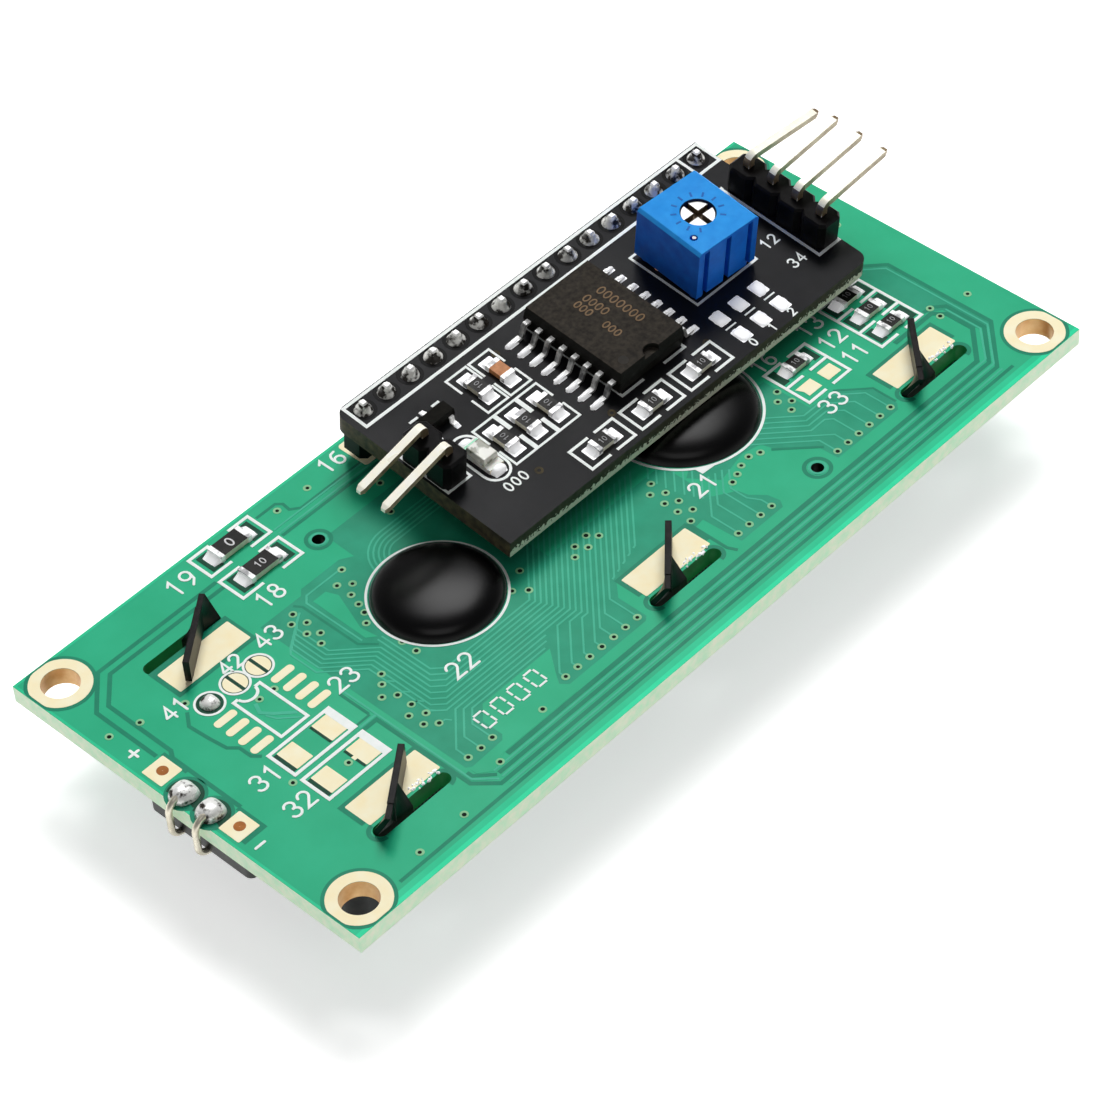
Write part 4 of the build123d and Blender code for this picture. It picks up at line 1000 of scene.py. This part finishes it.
crumbs = Body()
for x in slot_xs:
    for k in range(22):
        crumbs.add(crumb(x + 0.8 + 0.12 * k + rng.uniform(-0.1, 0.1), -11.4 + rng.uniform(-0.3, 0.35),
                         rng.uniform(0.08, 0.2), rng.uniform(0.06, 0.2), 100 + k))
crumbs.build("slot_solder", solder_dull, slot="solder")


# Adapter board: pads, print

plate = Sheet(0.0, 0.02)
for x in (7.15, 9.4, 11.7):
    plate.box(x - 0.6, -13.8, x + 0.6, -12.35, 0.12)
    plate.box(x - 0.6, -16.1, x + 0.6, -14.65, 0.12)
for side in (-1, 1):
    for i in range(8):
        y = -7.9 + (i - 3.5) * 1.27
        inner = 5.0 * side - 0.7
        outer = -6.7 if side < 0 else 5.3
        plate.box(min(inner, outer), y - 0.3, max(inner, outer), y + 0.3, 0.08)
for x in [-8.8 + 5.6 * i for i in range(3)]:
    plate.box(x - 1.7, -15.95, x - 0.6, -14.65, 0.08)
    plate.box(x + 0.6, -15.95, x + 1.7, -14.65, 0.08)
for x, y in [(-8.95 - 2.42 * i, -9.8) for i in range(3)] + [(-8.95 - 2.42 * i, -4.75) for i in range(2)]:
    plate.box(x - 0.65, y - 1.75, x + 0.65, y - 0.6, 0.08)
    plate.box(x - 0.65, y + 0.6, x + 0.65, y + 1.75, 0.08)
plate.box(-16.9, -12.0, -15.7, -11.0, 0.1)
plate.box(-16.9, -8.6, -15.7, -7.6, 0.1)
plate.build("adapter_pads", solder_dull, adapter, slot="solder")

# Near-black rings round each header hole, where the joints meet the board: painted shade.
rings = Sheet(0.0, 0.012)
for i in range(16):
    rings.ring((i - 7.5) * 2.54, 0, 0.78, 1.1, 28)
for y in [-8.87 + (i - 1.5) * 2.54 for i in range(4)]:
    rings.ring(19.45, y, 0.8, 0.95, 24)
rings.build("adapter_joint_shade_rings", joint_foot_painted_shade, adapter)

label = Sheet(0.0, 0.026)
label.line([(-20.1, -1.42), (20.3, -1.42), (20.3, 1.12), (-20.1, 1.12)], 0.28, closed=True)
label.line([(17.85, 1.0), (17.85, -1.3)], 0.26)
label.line([(-18.1, -5.4), (-20.5, -5.4), (-20.5, -10.4), (-18.1, -10.4), (-18.1, -9.9)], 0.22)
label.line([(18.1, -3.7), (17.9, -3.7), (17.9, -14.1), (20.3, -14.1), (20.3, -13.5)], 0.26)
label.line([(7.05, -3.7), (14.05, -3.7), (14.05, -10.85), (7.05, -10.85)], 0.22, closed=True)
label.line([(-4.15, -2.6), (-4.15, -13.1), (-1.7, -13.1)], 0.24)
label.line([(0.6, -13.1), (3.0, -13.1), (3.0, -12.4)], 0.24)
label.line([(-17.6, -3.5), (-16.7, -3.5)], 0.22)
label.line([(-15.2, -3.5), (-14.4, -3.5)], 0.22)
label.line(bow(-16.3, -8.3, 1.2, 1.2, 180, 0, 12) + bow(-16.3, -11.2, 1.2, 1.2, 0, -180, 12), 0.22, closed=True)


def part_box(x0, y0, x1, y1, upright):
    """Print box round a chip part, open in the middle of its long sides."""
    if upright:
        middle = (y0 + y1) / 2
        for end, way in ((y0, -1), (y1, 1)):
            label.line([(x0, middle + way * 0.5), (x0, end), (x1, end), (x1, middle + way * 0.5)], 0.2)
        return
    middle = (x0 + x1) / 2
    for end, way in ((x0, -1), (x1, 1)):
        label.line([(middle + way * 0.35, y0), (end, y0), (end, y1), (middle + way * 0.35, y1)], 0.24)


part_box(-12.6, -7.0, -10.4, -2.5, True)
part_box(-10.1, -7.0, -7.85, -2.5, True)
for x in (-13.75, -11.35, -8.95):
    part_box(x - 1.1, -12.1, x + 1.1, -7.5, True)
for x in (-8.8, -3.2, 2.4):
    part_box(x - 2.4, -16.5, x + 2.4, -14.1, False)
for x in (7.15, 9.4, 11.7):
    label.line([(x - 0.6, -14.22), (x + 0.6, -14.22)], 0.14)
for text, x, y in (("0", 7.15, -16.55), ("1", 9.4, -16.55), ("2", 11.7, -16.55)):
    write(label, text, x, y, 0.75, 0.14)
write(label, "12", 16.2, -10.3, 0.95, 0.15, gap=0.95)
write(label, "34", 16.2, -13.2, 0.95, 0.15, gap=0.95)
write(label, "000", -16.1, -13.2, 0.85, 0.15, gap=0.95)
label.build("adapter_print", silk, adapter)

adapter_vias = Sheet(0.0, 0.012)
for x, y in ((-14.1, -13.7), (-7.8, -3.2), (14.9, -3.1), (15.6, -8.1), (-6.0, -13.7), (4.6, -14.0)):
    adapter_vias.ring(x, y, 0.16, 0.36, 16)
adapter_vias.build("adapter_vias", adapter_side, adapter)

lamp_mark = Sheet(0.78, 0.815)
lamp_mark.box(-17.0, -9.05, -15.6, -8.6, 0.05)
lamp_mark.build("lamp_mark", lamp_green, adapter)

top_of_small = 0.5
codes = Sheet(top_of_small - 0.004, top_of_small + 0.008)
for x in [-8.8 + 5.6 * i for i in range(3)]:
    write(codes, "10", x, -15.3, 0.44, 0.06, gap=0.85)
for i in range(3):
    write(codes, "10", -8.95 - 2.42 * i, -9.8, 0.44, 0.06, turn=90, gap=0.85)
write(codes, "10", -8.95 - 2.42, -4.75, 0.44, 0.06, turn=90, gap=0.85)
codes.build("adapter_part_print", grey_ink, adapter)
small_codes = Sheet(top_of_small - 0.004, top_of_small + 0.008)
for x, y in ((31.0, -1.75), (31.0, -4.02), (31.0, -6.29), (22.55, -3.65)):
    write(small_codes, "10", x, y, 0.44, 0.06, gap=0.85)
small_codes.build("small_part_print", grey_ink)
large_codes = Sheet(0.515, 0.53)
write(large_codes, "0", -19.75, 16.1, 0.85, 0.13)
write(large_codes, "10", -19.75, 12.75, 0.6, 0.09, gap=0.85)
large_codes.build("large_part_print", finish("pale_ink", (196, 196, 198), 0.5, (226, 226, 228), grain=1500, bump=0.2))


# Trimmer dial and chip mark

trimmer = adapter @ Matrix.Translation((10.5 * MM, -7.4 * MM, 0)) @ Matrix.Rotation(math.radians(-3), 4, "Z")
dial = Sheet(5.35, 5.362)
for i in range(11):
    a = math.radians(-50 + 28 * i)
    dial.line([(1.72 * math.cos(a), 1.72 * math.sin(a)), (2.2 * math.cos(a), 2.2 * math.sin(a))], 0.17)
dial.build("trimmer_dial", finish("dial_ink", (10, 92, 178), 0.5, (16, 104, 190), grain=1500, bump=0.2), trimmer)

chip_print = Sheet(2.345, 2.356)
for text, x, y, height in (("0000000", 1.2, -7.9, 0.8), ("0000", -0.2, -6.6, 0.75), ("000", -1.2, -6.2, 0.7), ("000", -1.2, -9.2, 0.7)):
    write(chip_print, text, x, y, height, 0.12, turn=-90, gap=0.85)
chip_print.build("chip_print", chip_ink, adapter)

# A small pale disc at a dimple on the trimmer's top: a painted highlight.
dimple_glint = Sheet(5.22, 5.27)
dimple_glint.disc(-2.13, -1.68, 0.17, 14)
dimple_glint.build("trimmer_dimple_glint", lamp_white, trimmer)

mark = Sheet(2.35, 2.353)
mark.disc(-3.0, -12.0, 0.42, 24)
mark.build("chip_dot", finish("chip_dot", (34, 32, 28), 0.6, (50, 46, 40), grain=1500, bump=0.1), adapter)


# Stage

floor_z = cad_box[0][2] - 0.02 * MM
floor_mesh = bpy.data.meshes.new("floor")
floor_mesh.from_pydata([(-3, -3, floor_z), (3, -3, floor_z), (3, 3, floor_z), (-3, 3, floor_z)], [], [(0, 1, 2, 3)])
floor_white = finish("floor_white", (247, 247, 247), 0.8, (250, 250, 250), grain=30, bump=0.0)
floor_tree = floor_white.node_tree
seen = floor_tree.nodes.new("ShaderNodeLightPath")
glow = floor_tree.nodes.new("ShaderNodeEmission")
blend = floor_tree.nodes.new("ShaderNodeAddShader")
total = None
for way in ("Is Camera Ray", "Is Glossy Ray", "Is Transmission Ray"):
    if total is None:
        total = seen.outputs[way]
        continue
    join = floor_tree.nodes.new("ShaderNodeMath")
    join.operation = "MAXIMUM"
    floor_tree.links.new(total, join.inputs[0])
    floor_tree.links.new(seen.outputs[way], join.inputs[1])
    total = join.outputs["Value"]
part = floor_tree.nodes.new("ShaderNodeMath")
part.operation = "MULTIPLY"
part.inputs[1].default_value = 0.6
floor_tree.links.new(total, part.inputs[0])
floor_tree.links.new(part.outputs["Value"], glow.inputs["Strength"])
floor_tree.links.new(floor_tree.nodes["Principled BSDF"].outputs["BSDF"], blend.inputs[0])
floor_tree.links.new(glow.outputs["Emission"], blend.inputs[1])
floor_tree.links.new(blend.outputs["Shader"], floor_tree.nodes["Material Output"].inputs["Surface"])
floor_mesh.materials.append(floor_white)
floor = bpy.data.objects.new("floor", floor_mesh)
bpy.context.scene.collection.objects.link(floor)

world = bpy.data.worlds.new("studio")
bpy.context.scene.world = world
world.use_nodes = True
sky = world.node_tree
background = sky.nodes["Background"]
sky_place = sky.nodes.new("ShaderNodeTexCoord")
sky_split = sky.nodes.new("ShaderNodeSeparateXYZ")
sky_ramp = sky.nodes.new("ShaderNodeValToRGB")
for stop, level in ((0.3, 0.32), (0.55, 0.13)):
    sky_ramp.color_ramp.elements.new(stop).color = (level, level, level, 1)
sky_ramp.color_ramp.elements[0].color = (0.72, 0.7, 0.68, 1)
sky_ramp.color_ramp.elements[-1].position = 0.8
sky_ramp.color_ramp.elements[-1].color = (0.07, 0.07, 0.07, 1)
sky.links.new(sky_place.outputs["Generated"], sky_split.inputs["Vector"])
sky.links.new(sky_split.outputs["Z"], sky_ramp.inputs["Fac"])
sky.links.new(sky_ramp.outputs["Color"], background.inputs["Color"])
background.inputs["Strength"].default_value = 1.0


def lamp(name, way, distance, size, power, mirrored):
    """Square soft lamp that looks at the object from a direction, with or without its reflection."""
    light = bpy.data.lights.new(name, "AREA")
    light.shape = "SQUARE"
    light.size = size
    light.energy = power
    holder = bpy.data.objects.new(name, light)
    holder.visible_glossy = mirrored
    way = Vector(way).normalized()
    holder.location = way * distance
    holder.rotation_euler = way.to_track_quat("Z", "Y").to_euler()
    bpy.context.scene.collection.objects.link(holder)


elevation = math.radians(52.5)
key_way = (0.81 * math.cos(elevation), 0.59 * math.cos(elevation), math.sin(elevation))
lamp("key", key_way, 1.2, 0.64, 13.6, False)
lamp("sheen", (0.43, 0.41, 0.8), 1.25, 0.36, 1.7, True)
lamp("overhead", (-0.2, -0.2, 1.0), 1.2, 0.6, 0.7, True)

camera = bpy.data.objects.new("camera", bpy.data.cameras.new("camera"))
camera.location = (-0.14511414, -0.14967799, 0.20808124)
camera.rotation_euler = Euler([math.radians(a) for a in (44.31114, 3.13510, -46.89061)], "XYZ")
camera.data.sensor_width = 36.0
camera.data.lens = 127.85
camera.data.clip_start = 0.01
bpy.context.scene.collection.objects.link(camera)
bpy.context.scene.camera = camera
bpy.context.scene.view_settings.view_transform = "Standard"
